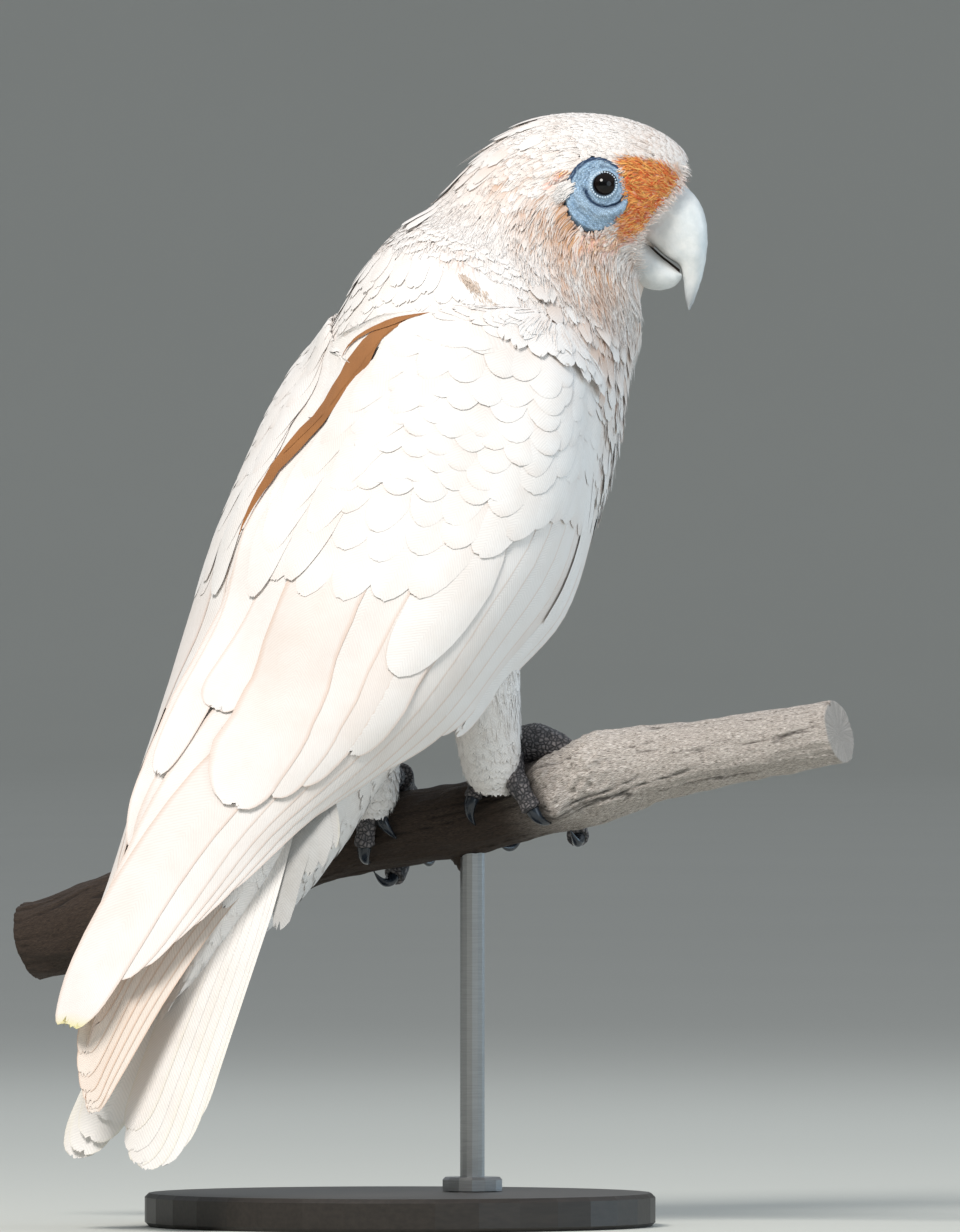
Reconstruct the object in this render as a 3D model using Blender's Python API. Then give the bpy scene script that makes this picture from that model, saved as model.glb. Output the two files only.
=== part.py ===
"""A western corella at rest on a cut length of branch, held up by a plain display stand.

Lengths are in millimetres and angles in degrees up to the last step, where MM turns
them into metres.  The bird's body faces +X, its left side is +Y, and +Z is up.  The
origin is the middle of the stand's underside.  The head is turned to the bird's right.
"""

import math

import bmesh
import bpy
import numpy as np
from mathutils.bvhtree import BVHTree

MM = 0.001
CLEARANCE = 0.35
SIDES = {"right": -1.0, "left": 1.0}

# Head, in a plane turned to the bird's right: each place is (ahead of the neck, up).
HEAD_TURN = 38.0
NECK_X = 59.4
EYE = (26.6, 375.0)
EYEBALL_RADIUS = 5.6
EYE_OPENING_RADIUS = 3.7
ORBIT = (23.9, 371.6)
ORBIT_HALF_LENGTH, ORBIT_HALF_HEIGHT = 11.2, 13.2
ORBIT_RAISED, ORBIT_SUNK = 0.7, 1.6

# Stations up the body, from under the tail to the face.  Each is a flat ring: how far
# ahead of the neck it sits and how high, the way it faces (turn to the right, and pitch
# above level), and its reach towards the back, the belly and each side.
BODY_STATIONS = (
    # ahead,    up,   turn, pitch, back, belly, side
    (-159.0, 97.0, 0.0, 67.0, 3.0, 12.0, 12.0),
    (-146.0, 124.0, 0.0, 67.0, 8.0, 33.0, 22.0),
    (-129.0, 152.0, 0.0, 67.0, 14.0, 42.0, 28.0),
    (-111.0, 180.0, 0.0, 65.0, 24.0, 44.0, 35.0),
    (-91.0, 205.0, 0.0, 63.0, 36.0, 54.0, 45.0),
    (-70.5, 232.0, 0.0, 62.0, 43.0, 61.0, 52.0),
    (-53.0, 257.0, 0.0, 63.0, 48.0, 64.0, 55.0),
    (-38.0, 283.0, 0.0, 64.0, 52.0, 64.0, 54.0),
    (-26.5, 305.0, 0.0, 65.0, 54.0, 61.0, 50.0),
    (-17.0, 324.0, 4.0, 65.0, 52.0, 57.0, 45.0),
    (-8.0, 338.0, 16.0, 63.0, 46.5, 53.0, 40.0),
    (1.8, 348.0, 30.0, 60.0, 41.5, 46.0, 35.0),
    (9.4, 360.0, HEAD_TURN, 54.0, 38.3, 40.0, 31.0),
    (15.5, 366.5, HEAD_TURN, 45.6, 36.8, 36.4, 28.6),
    (23.8, 370.8, HEAD_TURN, 32.0, 34.8, 34.5, 27.2),
    (34.2, 371.5, HEAD_TURN, 17.0, 30.9, 30.9, 24.6),
    (42.5, 371.2, HEAD_TURN, 3.0, 26.3, 26.3, 21.0),
    (49.3, 369.7, HEAD_TURN, -12.6, 20.7, 20.7, 16.2),
    (53.3, 367.6, HEAD_TURN, -28.0, 14.3, 14.3, 11.2),
)
TRUNK_TOP, NECK_TOP, FACE = 8.6, 11.7, 18.0

# Bill, in the head's plane: the outer ridge, the inner edge and the half width.
BILL_UPPER = (
    ((47.0, 379.0), (36.0, 359.5), 11.0),
    ((55.5, 375.2), (39.0, 356.0), 10.8),
    ((61.0, 369.5), (42.6, 352.8), 10.0),
    ((63.8, 361.0), (47.4, 349.6), 8.8),
    ((63.9, 352.0), (52.2, 346.6), 7.2),
    ((62.6, 343.6), (55.2, 342.0), 4.6),
    ((60.2, 336.0), (56.4, 335.4), 2.4),
    ((57.9, 330.4), (57.3, 330.4), 0.5),
)
BILL_LOWER = (
    ((37.0, 357.2), (33.0, 345.0), 8.6),
    ((42.2, 351.6), (40.0, 339.6), 8.2),
    ((47.6, 348.2), (46.4, 337.6), 7.2),
    ((52.2, 345.4), (51.8, 338.6), 5.6),
    ((55.0, 343.2), (54.8, 341.4), 3.6),
)

# Right wing, from the shoulder to the tip of the folded inner feathers: the edge on the
# back, the middle of the outer face and the edge towards the belly, then the thickness.
WING_ROWS = (
    ((22.0, -34.0, 326.0), (31.0, -44.0, 326.0), (44.0, -47.0, 320.0), 12.0),
    ((6.0, -14.0, 318.0), (22.0, -49.0, 320.0), (55.0, -47.0, 304.0), 16.0),
    ((-9.0, 0.0, 311.0), (16.0, -56.0, 306.0), (56.0, -46.0, 284.0), 16.0),
    ((-28.0, 2.0, 299.0), (6.0, -62.0, 281.0), (53.0, -46.0, 252.0), 16.0),
    ((-44.0, 4.0, 277.0), (-7.0, -63.0, 256.0), (38.0, -49.0, 223.0), 16.0),
    ((-60.0, 6.0, 252.0), (-24.0, -60.0, 232.0), (11.0, -50.0, 198.0), 15.0),
    ((-70.0, 8.0, 220.0), (-42.0, -53.0, 207.0), (-12.0, -48.0, 174.0), 12.0),
    ((-90.0, 8.0, 189.0), (-61.0, -43.0, 182.0), (-40.0, -41.0, 158.0), 7.0),
    ((-108.0, 8.0, 160.0), (-90.0, -23.0, 153.0), (-76.0, -33.0, 141.0), 4.0),
    ((-124.0, 8.0, 126.0), (-114.0, -9.0, 123.0), (-104.0, -21.0, 118.0), 3.0),
    ((-140.0, 9.0, 92.0), (-136.5, 0.0, 90.0), (-131.5, -9.0, 88.0), 2.2),
    ((-148.0, 7.0, 72.0), (-146.0, 3.0, 72.5), (-143.5, -1.0, 74.0), 1.4),
)
# Right flight feathers, folded under the wing, in the same form.
PRIMARY_ROWS = (
    ((-40.0, -14.0, 190.0), (-30.0, -36.0, 178.0), (-22.0, -44.0, 160.0), 6.0),
    ((-74.0, -4.0, 160.0), (-62.0, -26.0, 150.0), (-52.0, -36.0, 136.0), 4.0),
    ((-104.0, 0.0, 126.0), (-94.0, -17.0, 120.0), (-86.0, -28.0, 112.0), 3.0),
    ((-126.0, 3.0, 92.0), (-118.0, -9.0, 88.0), (-110.0, -19.0, 84.0), 2.4),
    ((-139.0, 4.0, 62.0), (-134.0, -3.0, 60.0), (-128.0, -11.0, 60.0), 1.8),
    ((-143.0, -1.0, 43.0), (-142.0, -2.5, 42.0), (-140.0, -4.0, 42.0), 1.0),
)
# The left wing mirrors it, a little fuller at the shoulder and drawn in at the tip.
LEFT_WING_LIFT, LEFT_WING_TUCK, LEFT_WING_UNDER = 23.0, 0.22, 3.0
WING_SEAM = (7.0, 2.6)
WING_LEAST, WING_BED = 5.5, 1.5

# Tail: each half is a blade of feathers from the middle outwards, roofed a little.
TAIL_BASE, TAIL_TIP = (-70.0, 0.0, 164.0), (-130.0, 0.0, 20.5)
TAIL_ROOF = 12.0
TAIL_SPREAD = {"right": 33.0, "left": 33.0}
TAIL_SWING = {"right": 1.0, "left": 17.0}
TAIL_LENGTH = {"right": 1.0, "left": 0.975}
TAIL_ROWS = (
    # along, inner edge, outer edge (each as a part of the spread), thickness
    (0.05, 0.02, 0.70, 2.4),
    (0.25, 0.02, 0.95, 2.2),
    (0.50, 0.02, 1.00, 1.9),
    (0.70, 0.02, 0.92, 1.6),
    (0.85, 0.03, 0.82, 1.4),
    (0.93, 0.06, 0.73, 1.2),
    (0.98, 0.14, 0.60, 1.0),
    (1.00, 0.27, 0.46, 0.9),
)

# Branch: places along it from the point under the body, with height and radius.  It is
# level across BRANCH_HEADING, its right-hand end is the higher one.
BRANCH_MIDDLE = (27.4, 0.0)
BRANCH_HEADING = -63.0
BRANCH_STATIONS = (
    (-172.0, 101.5, 14.4),
    (-143.0, 109.0, 15.6),
    (-112.0, 119.0, 15.0),
    (-83.0, 127.0, 13.4),
    (-52.0, 136.6, 12.8),
    (-20.0, 143.0, 13.6),
    (0.0, 146.0, 13.6),
    (20.0, 150.6, 13.6),
    (40.0, 156.0, 14.2),
    (56.0, 161.5, 15.8),
    (76.0, 166.5, 14.0),
    (110.0, 172.0, 12.4),
    (150.0, 178.0, 11.6),
)
# Lumps on it: place along, angle from the top towards the bird's front, swell, spans.
BRANCH_LUMPS = (
    (41.0, -62.0, 6.0, 6.0, 24.0),
    (44.0, -112.0, 6.5, 5.0, 22.0),
    (58.0, -70.0, 3.5, 12.0, 55.0),
)
TWIG = ((-6.0, 178.0), 8.0, 3.6)

# Feet: where each stands along the branch, then its toes.  A toe wraps the branch from
# one angle to another (0 is the top, positive towards the bird's front) while it drifts
# along it, and ends in a claw.
FOOT_PLACE = {"right": 23.0, "left": -26.0}
FEATHERS_END = (-66.0, 5.5)
TOES = {
    # start, drift, angle, angle at the claw, radius at the root and at the claw
    "inner_front": (-3.0, -7.0, 10.0, 118.0, 4.6, 3.4),
    "outer_front": (4.0, 12.0, 10.0, 150.0, 5.0, 3.6),
    "inner_hind": (-3.0, -6.0, -20.0, -72.0, 4.0, 3.0),
    "outer_hind": (4.0, 9.0, -20.0, -104.0, 4.6, 3.4),
}
CLAW_LENGTH, CLAW_RADIUS = 13.0, 2.3
PAD_RADII = (8.0, 8.5, 5.5)
LEG_ROWS = (
    # ahead, out to the side, height, half length, half width
    (4.0, 30.0, 236.0, 22.0, 15.0),
    (10.0, 30.0, 214.0, 19.0, 14.0),
    (17.0, 27.5, 194.0, 14.5, 12.5),
    (22.5, 24.5, 177.0, 11.5, 10.5),
    (26.5, 22.0, 163.0, 8.5, 8.0),
    (28.0, 21.5, 157.5, 4.5, 4.5),
)

# Stand.
BASE_RADIUS, BASE_THICK, BASE_EDGE = 92.0, 12.0, 1.5
ROD_RADIUS, COLLAR_RADIUS, COLLAR_HEIGHT = 4.5, 11.0, 5.0
ROD_ALONG = 2.0

FACETS = {"body": 24, "head": 24, "bill": 12, "toe": 6, "branch": 13, "orbit": 16}
FEATHER, BARE_BLUE, EYE_BLACK = (0.86, 0.83, 0.80), (0.30, 0.42, 0.52), (0.01, 0.01, 0.01)
HORN, SCALE_GREY, CLAW_GREY = (0.66, 0.64, 0.60), (0.16, 0.17, 0.20), (0.07, 0.07, 0.09)
WOOD, STAND_GREY, STEEL = (0.30, 0.25, 0.21), (0.06, 0.06, 0.065), (0.55, 0.55, 0.56)


def direction(turn, pitch):
    """The unit vector that faces this far to the bird's right and above level."""
    t, p = math.radians(turn), math.radians(pitch)
    return np.array((math.cos(p) * math.cos(t), -math.cos(p) * math.sin(t), math.sin(p)))


def unit(vector):
    return np.asarray(vector, float) / np.linalg.norm(vector)


def smooth_row(rows, s):
    """The row at place s of a table, on a curve that passes smoothly through every row."""
    rows = np.asarray(rows, float)
    last = len(rows) - 1
    i = max(min(int(s), last - 1), 0)
    f = s - i
    a, b, c, d = (rows[min(max(k, 0), last)] for k in (i - 1, i, i + 1, i + 2))
    return b + 0.5 * f * (c - a + f * (2 * a - 5 * b + 4 * c - d + f * (3 * (b - c) + d - a)))


def in_head(ahead, up, out=0.0):
    """A point of the head's plane, moved out to the bird's right of it."""
    turn = math.radians(HEAD_TURN)
    return np.array((
        NECK_X + ahead * math.cos(turn) - out * math.sin(turn),
        -ahead * math.sin(turn) - out * math.cos(turn),
        up,
    ))


def body_ring(s, count, grow=0.0, shift=0.0):
    """One ring of the body's outline, from the back round by the right, grown outward."""
    ahead, up, turn, pitch, back, belly, side = smooth_row(BODY_STATIONS, s)
    centre = np.array((NECK_X, 0.0, up)) + direction(turn, 0.0) * ahead
    facing, dorsal = direction(turn, pitch), direction(turn, pitch + 90.0)
    right = np.cross(facing, dorsal)
    points = []
    for k in range(count):
        a = 2 * math.pi * k / count
        reach = (back if math.cos(a) > 0 else belly) + grow
        points.append(dorsal * math.cos(a) * reach + right * math.sin(a) * (side + grow))
    return centre + facing * shift + np.array(points)


def body_rings(low, high, rows, count, grow=0.0, gap_low=0.0, gap_high=0.0):
    rings = []
    for k in range(rows + 1):
        shift = gap_low if k == 0 else -gap_high if k == rows else 0.0
        rings.append(body_ring(low + (high - low) * k / rows, count, grow, shift))
    return rings


def mesh_object(name, vertices, faces):
    mesh = bpy.data.meshes.new(name)
    mesh.from_pydata([tuple(v) for v in vertices], [], faces)
    whole = bmesh.new()
    whole.from_mesh(mesh)
    bmesh.ops.recalc_face_normals(whole, faces=whole.faces)
    if whole.calc_volume(signed=True) < 0:
        bmesh.ops.reverse_faces(whole, faces=whole.faces)
    whole.to_mesh(mesh)
    whole.free()
    thing = bpy.data.objects.new(name, mesh)
    bpy.context.scene.collection.objects.link(thing)
    return thing


def loft(name, rings, bulge_low=0.0, bulge_high=0.0):
    """A closed solid through rings of equal count, with a point in the middle of each end."""
    count = len(rings[0])
    points = [p for ring in rings for p in ring]
    faces = []
    for i in range(len(rings) - 1):
        for k in range(count):
            a, b = i * count + k, i * count + (k + 1) % count
            faces.append((a, b, b + count, a + count))
    for end, inner, bulge in ((0, 1, bulge_low), (-1, -2, bulge_high)):
        middle = np.mean(rings[end], axis=0)
        outward = unit(middle - np.mean(rings[inner], axis=0))
        points.append(middle + outward * bulge)
        start = 0 if end == 0 else (len(rings) - 1) * count
        for k in range(count):
            faces.append((start + k, start + (k + 1) % count, len(points) - 1))
    return mesh_object(name, points, faces)


def grown(thing, amount):
    """A copy with every point moved out along its normal, to cut a neighbour clear."""
    copy = thing.copy()
    copy.data = thing.data.copy()
    bpy.context.scene.collection.objects.link(copy)
    normals = [v.normal.copy() for v in copy.data.vertices]
    for vertex, normal in zip(copy.data.vertices, normals):
        vertex.co += normal * amount
    return copy


def combine(thing, other, operation, solver="EXACT"):
    """Applies a Boolean with another solid, which is then removed."""
    boolean = thing.modifiers.new(operation.lower(), "BOOLEAN")
    boolean.object, boolean.operation, boolean.solver = other, operation, solver
    boolean.use_self = True
    graph = bpy.context.evaluated_depsgraph_get()
    mesh = bpy.data.meshes.new_from_object(thing.evaluated_get(graph))
    thing.modifiers.clear()
    thing.data = mesh
    bpy.data.objects.remove(other)
    return thing


def keep_largest(thing):
    """Drops the crumbs that a cut leaves beside the main piece, and closes tiny edges."""
    whole = bmesh.new()
    whole.from_mesh(thing.data)
    bmesh.ops.remove_doubles(whole, verts=whole.verts, dist=0.004)
    bmesh.ops.dissolve_degenerate(whole, edges=whole.edges, dist=0.004)
    bmesh.ops.triangulate(whole, faces=whole.faces)
    unseen, pieces = set(whole.verts), []
    while unseen:
        front, piece = [unseen.pop()], []
        while front:
            vertex = front.pop()
            piece.append(vertex)
            for edge in vertex.link_edges:
                other = edge.other_vert(vertex)
                if other in unseen:
                    unseen.remove(other)
                    front.append(other)
        pieces.append(piece)
    pieces.sort(key=len)
    for piece in pieces[:-1]:
        bmesh.ops.delete(whole, geom=piece, context="VERTS")
    whole.to_mesh(thing.data)
    whole.free()
    return thing


def cut(thing, *neighbours):
    for neighbour in neighbours:
        combine(thing, grown(neighbour, CLEARANCE), "DIFFERENCE")
    return keep_largest(thing)


def material(name, colour, roughness=0.7, metallic=0.0):
    made = bpy.data.materials.get(name)
    if made is None:
        made = bpy.data.materials.new(name)
        made.use_nodes = True
        shader = made.node_tree.nodes["Principled BSDF"]
        shader.inputs["Base Color"].default_value = (*colour, 1.0)
        shader.inputs["Roughness"].default_value = roughness
        shader.inputs["Metallic"].default_value = metallic
    return made


def finish(thing, look):
    thing.data.materials.clear()
    thing.data.materials.append(look)
    for face in thing.data.polygons:
        face.use_smooth = True
        face.material_index = 0
    return thing


def tube(name, path, radii, count, squash=1.0, up=(0.0, 0.0, 1.0), bulge=(0.0, 0.0)):
    """A round bar along a path, squashed across the given direction."""
    path = np.asarray(path, float)
    rings = []
    for i, (point, radius) in enumerate(zip(path, radii)):
        along = unit(path[min(i + 1, len(path) - 1)] - path[max(i - 1, 0)])
        side = unit(np.cross(along, up))
        over = np.cross(side, along)
        turns = [2 * math.pi * k / count for k in range(count)]
        rings.append(np.array([
            point + radius * (side * math.cos(a) + over * math.sin(a) * squash) for a in turns
        ]))
    return loft(name, rings, *bulge)


def body_surface():
    """A tree of the whole feathered body, to lay the wings on."""
    rings = body_rings(0, FACE, 36, 36)
    whole = loft("body_surface", rings)
    tree = BVHTree.FromPolygons([v.co.copy() for v in whole.data.vertices],
                                [tuple(f.vertices) for f in whole.data.polygons])
    bpy.data.objects.remove(whole)
    return tree


def blade(name, rows, side, columns, step, body=None, lift=0.0):
    """A folded wing as a sheet with thickness, laid over the body where it has one."""
    table = np.array([np.concatenate((*row[:3], (row[3],))) for row in rows], float)
    sign = np.array((1.0, -side, 1.0))
    outer, depth = [], []
    for s in np.linspace(0, len(rows) - 1, step):
        row = smooth_row(table, s)
        first, middle, last = row[0:3], row[3:6], row[6:9]
        if side > 0:
            # The left one starts where the right one ends, beside the middle of the back.
            seam = max(first[1], 0.0)
            fold = 1.0 - LEFT_WING_TUCK * s / (len(rows) - 1)
            under = LEFT_WING_UNDER * s / (len(rows) - 1)
            gap = WING_SEAM[0] + (WING_SEAM[1] - WING_SEAM[0]) * s / (len(rows) - 1)
            first, middle, last = (
                np.array((p[0] + under, seam + (seam - p[1]) * fold + gap, p[2]))
                for p in (first, middle, last)
            )
        control = 2 * middle - 0.5 * (first + last)
        outer.append([
            (1 - f) ** 2 * first + 2 * f * (1 - f) * control + f * f * last
            for f in np.linspace(0, 1, columns)
        ])
        depth.append(row[9])
    outer = np.array(outer)
    along = np.gradient(outer, axis=0)
    across = np.gradient(outer, axis=1)
    normal = np.cross(across, along) * side
    normal /= np.linalg.norm(normal, axis=2, keepdims=True)
    edge = np.sin(np.linspace(0, math.pi, columns)) ** 0.5
    fade = np.linspace(1.0, 0.0, step) ** 1.3 * np.minimum(1.0, np.arange(step) / 3.0)
    over_back = edge * np.linspace(1.0, 0.0, columns)
    outer = outer + normal * (lift * fade[:, None] * over_back[None, :])[:, :, None]
    back = outer - normal * (np.array(depth)[:, None] * (0.25 + 0.75 * edge))[:, :, None]
    if body is not None:
        for i in range(step):
            for k in range(columns):
                place, out, _, _ = body.find_nearest(tuple(outer[i, k]))
                place, out = np.array(place), np.array(out)
                height = float((outer[i, k] - place) @ out)
                least = WING_LEAST * (0.4 + 0.6 * edge[k]) * min(1.0, 0.5 + i / 6)
                if height < least:
                    outer[i, k] += out * (least - height)
                if height < 24.0 and float(normal[i, k] @ out) > 0.6:
                    rest = float((back[i, k] - place) @ out)
                    if rest < -WING_BED:
                        back[i, k] += out * (-WING_BED - rest)
                    if float((back[i, k] - outer[i, k]) @ out) > -1.0:
                        back[i, k] = outer[i, k] - out * 1.5
    rings = [np.concatenate((o, b[::-1])) for o, b in zip(outer, back)]
    return loft(name, rings)


def branch_point(along, angle, out=0.0):
    """A point of the bark, at an angle from the top towards the bird's front."""
    places = [row[0] for row in BRANCH_STATIONS]
    s = float(np.interp(along, places, range(len(places))))
    _, height, radius = smooth_row(BRANCH_STATIONS, s)
    for place, where, swell, length, spread in BRANCH_LUMPS:
        turn = (angle - where + 180.0) % 360.0 - 180.0
        radius += swell * math.exp(-(((along - place) / length) ** 2) - (turn / spread) ** 2)
    heading = math.radians(BRANCH_HEADING)
    plan = np.array((math.cos(heading), math.sin(heading), 0.0))
    front = np.array((-math.sin(heading), math.cos(heading), 0.0))
    axis = unit(plan + np.array((0.0, 0.0, 0.22)))
    over = np.cross(front, axis)
    over *= math.copysign(1.0, over[2])
    a = math.radians(angle)
    normal = over * math.cos(a) + front * math.sin(a)
    return np.array((*BRANCH_MIDDLE, height)) + plan * along + normal * (radius + out)


def clear_scene():
    for thing in list(bpy.data.objects):
        bpy.data.objects.remove(thing)


def build_body():
    feather = material("white_feather", FEATHER, 0.85)
    half = CLEARANCE / 2
    body, head = FACETS["body"], FACETS["head"]
    trunk = loft("trunk", body_rings(0, TRUNK_TOP, 14, body, 0, 0, half), 3.0, 0.0)
    neck = loft("neck", body_rings(TRUNK_TOP, NECK_TOP, 5, body, 0, half, half))
    skull = loft("head", body_rings(NECK_TOP, FACE, 9, head, 0, half, 0), 0.0, 2.5)
    for thing in (trunk, neck, skull):
        finish(thing, feather)
    return trunk, neck, skull


def build_bill(skull):
    horn = material("bill_horn", HORN, 0.38)
    made = []
    for name, table in (("bill_upper", BILL_UPPER), ("bill_lower", BILL_LOWER)):
        flat = np.array([(*r[0], *r[1], r[2]) for r in table])
        rings = []
        for s in np.linspace(0, len(flat) - 1, 13 if name == "bill_upper" else 7):
            ridge_x, ridge_z, edge_x, edge_z, width = smooth_row(flat, s)
            mid = np.array((ridge_x + edge_x, ridge_z + edge_z)) / 2
            reach = np.array((ridge_x - edge_x, ridge_z - edge_z)) / 2
            ring = []
            for k in range(FACETS["bill"]):
                a = 2 * math.pi * k / FACETS["bill"]
                ahead, up = mid + reach * math.cos(a)
                ring.append(in_head(ahead, up, width * math.sin(a)))
            rings.append(np.array(ring))
        made.append(finish(loft(name, rings, 0.5, 0.4), horn))
    upper, lower = made
    cut(lower, upper)
    cut(upper, skull)
    cut(lower, skull)
    return upper, lower


def build_eyes(skull):
    blue, black = material("eye_ring_skin", BARE_BLUE, 0.6), material("eye", EYE_BLACK, 0.08)
    for name, side in (("right", 1.0), ("left", -1.0)):
        outline = []
        for k in range(FACETS["orbit"]):
            a = 2 * math.pi * k / FACETS["orbit"]
            outline.append((
                ORBIT[0] + ORBIT_HALF_LENGTH * math.cos(a) * (1 - 0.06 * math.sin(a)),
                ORBIT[1] + ORBIT_HALF_HEIGHT * math.sin(a),
            ))
        rings = []
        for scale, rise in ((0.94, -ORBIT_SUNK), (1.0, 0.0), (0.8, ORBIT_RAISED)):
            ring = []
            for ahead, up in outline:
                a = ORBIT[0] + (ahead - ORBIT[0]) * scale
                u = ORBIT[1] + (up - ORBIT[1]) * scale
                ring.append(in_head(a, u, side * (head_half_width(a, u) + rise)))
            rings.append(np.array(ring))
        orbit = loft("orbit_" + name, rings, 0.0, 0.6)
        out = head_half_width(*EYE) + 1.2
        centre = in_head(*EYE, side * (out - EYEBALL_RADIUS + 2.4))
        eye = ball("eye_" + name, centre, EYEBALL_RADIUS, 14, 7)
        combine(skull, grown(orbit, CLEARANCE), "DIFFERENCE")
        cut(skull, eye)
        cut(orbit, eye)
        finish(orbit, blue)
        finish(eye, black)
    finish(skull, material("white_feather", FEATHER, 0.85))


def head_half_width(ahead, up):
    """How far the head reaches to either side at a place of its middle plane."""
    best = 0.0
    for s in np.linspace(NECK_TOP - 1.5, FACE, 60):
        a, u, _, pitch, back, belly, side = smooth_row(BODY_STATIONS, s)
        facing = np.array((math.cos(math.radians(pitch)), math.sin(math.radians(pitch))))
        rest = np.array((ahead - a, up - u))
        along = float(rest @ facing)
        over = float(rest @ np.array((-facing[1], facing[0])))
        reach = back if over > 0 else belly
        if abs(along) < 1.2 and abs(over) < reach:
            best = max(best, side * math.sqrt(1 - (over / reach) ** 2))
    return best


def ball(name, centre, radius, count=16, rows=10):
    rings = []
    for i in range(1, rows):
        polar = math.pi * i / rows
        rings.append(np.array([
            centre + radius * np.array((
                math.sin(polar) * math.cos(2 * math.pi * k / count),
                math.sin(polar) * math.sin(2 * math.pi * k / count),
                math.cos(polar),
            )) for k in range(count)
        ]))
    cap = radius * (1 - math.cos(math.pi / rows))
    return loft(name, rings, cap, cap)


def build_wings(trunk, neck, skull, tails):
    feather = material("white_feather", FEATHER, 0.85)
    made, body = [], body_surface()
    for name, side in SIDES.items():
        lift = LEFT_WING_LIFT if name == "left" else 0.0
        wing = blade("wing_" + name, WING_ROWS, side, 8, 18, body, lift)
        quills = blade("primaries_" + name, PRIMARY_ROWS, side, 5, 10)
        made.append((wing, quills))
    (right, right_quills), (left, left_quills) = made
    cut(right_quills, left, right)
    cut(left_quills, left, right, right_quills)
    for wing, quills in made:
        cut(wing, trunk, neck)
        cut(quills, trunk, *tails)
        finish(wing, feather)
        finish(quills, feather)
    return made


def build_tail(trunk):
    feather = material("white_feather", FEATHER, 0.85)
    base, tip = np.array(TAIL_BASE), np.array(TAIL_TIP)
    along = unit(tip - base)
    under = np.cross(along, (0.0, 1.0, 0.0))
    under *= math.copysign(1.0, under[0])
    table = np.array(TAIL_ROWS)
    made = []
    for name, side in SIDES.items():
        spread = TAIL_SPREAD[name]
        rings = []
        for s in np.linspace(0, len(table) - 1, 12):
            t, inner, outer, thick = smooth_row(table, s)
            top = []
            for f in np.linspace(inner, outer, 5):
                out = f * spread + TAIL_SWING[name] * t ** 2
                roof = TAIL_ROOF * (f * spread / 34.0) ** 2
                top.append(base + (tip - base) * t * TAIL_LENGTH[name] + under * roof
                           + np.array((0.0, side * (out + CLEARANCE / 2), 0.0)))
            top = np.array(top)
            rings.append(np.concatenate((top, (top + under * thick)[::-1])))
        tail = loft("tail_" + name, rings)
        made.append(finish(cut(tail, trunk), feather))
    return made


def build_legs(trunk, wings):
    feather = material("white_feather", FEATHER, 0.85)
    table = np.array(LEG_ROWS)
    made = []
    for (name, side), (wing, quills) in zip(SIDES.items(), wings):
        rings = []
        for s in np.linspace(0, len(table) - 1, 9):
            ahead, out, height, length, width = smooth_row(table, s)
            fall = (LEG_ROWS[0][2] - height) / (LEG_ROWS[0][2] - LEG_ROWS[-1][2])
            centre = np.array((ahead, side * out, height)) + leg_shift(name) * fall
            turns = [2 * math.pi * k / 14 for k in range(14)]
            rings.append(np.array([
                centre + np.array((length * math.cos(a), width * math.sin(a), 0)) for a in turns
            ]))
        leg = loft("leg_" + name, rings, 0.0, 1.5)
        cut(leg, trunk, wing)
        made.append(finish(leg, feather))
    return made


def leg_shift(name):
    """How far a foot stands from the place under its own side of the body."""
    wanted = np.array((LEG_ROWS[-1][0], SIDES[name] * LEG_ROWS[-1][1], LEG_ROWS[-1][2]))
    return branch_point(FOOT_PLACE[name], *FEATHERS_END) - wanted


def build_perch():
    bark = material("weathered_wood", WOOD, 0.9)
    low, high = BRANCH_STATIONS[0][0], BRANCH_STATIONS[-1][0]
    rings = []
    count = FACETS["branch"]
    for along in np.concatenate((np.arange(low, 30, 17.0), np.arange(32, 72, 6.5),
                                 np.arange(80, high, 18.0), (high,))):
        rings.append(np.array([branch_point(along, 360.0 * k / count) for k in range(count)]))
    perch = loft("perch", rings)
    (along, angle), length, radius = TWIG
    start = branch_point(along, angle, -6.0)
    end = branch_point(along + 8.0, angle, length)
    twig = tube("twig", [start + (end - start) * f for f in (0, 0.5, 0.85, 1)],
                [radius, radius * 0.9, radius * 1.1, radius * 0.6], 8, up=(1.0, 0.0, 0.0))
    combine(perch, twig, "UNION")
    return finish(keep_largest(perch), bark)


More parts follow.
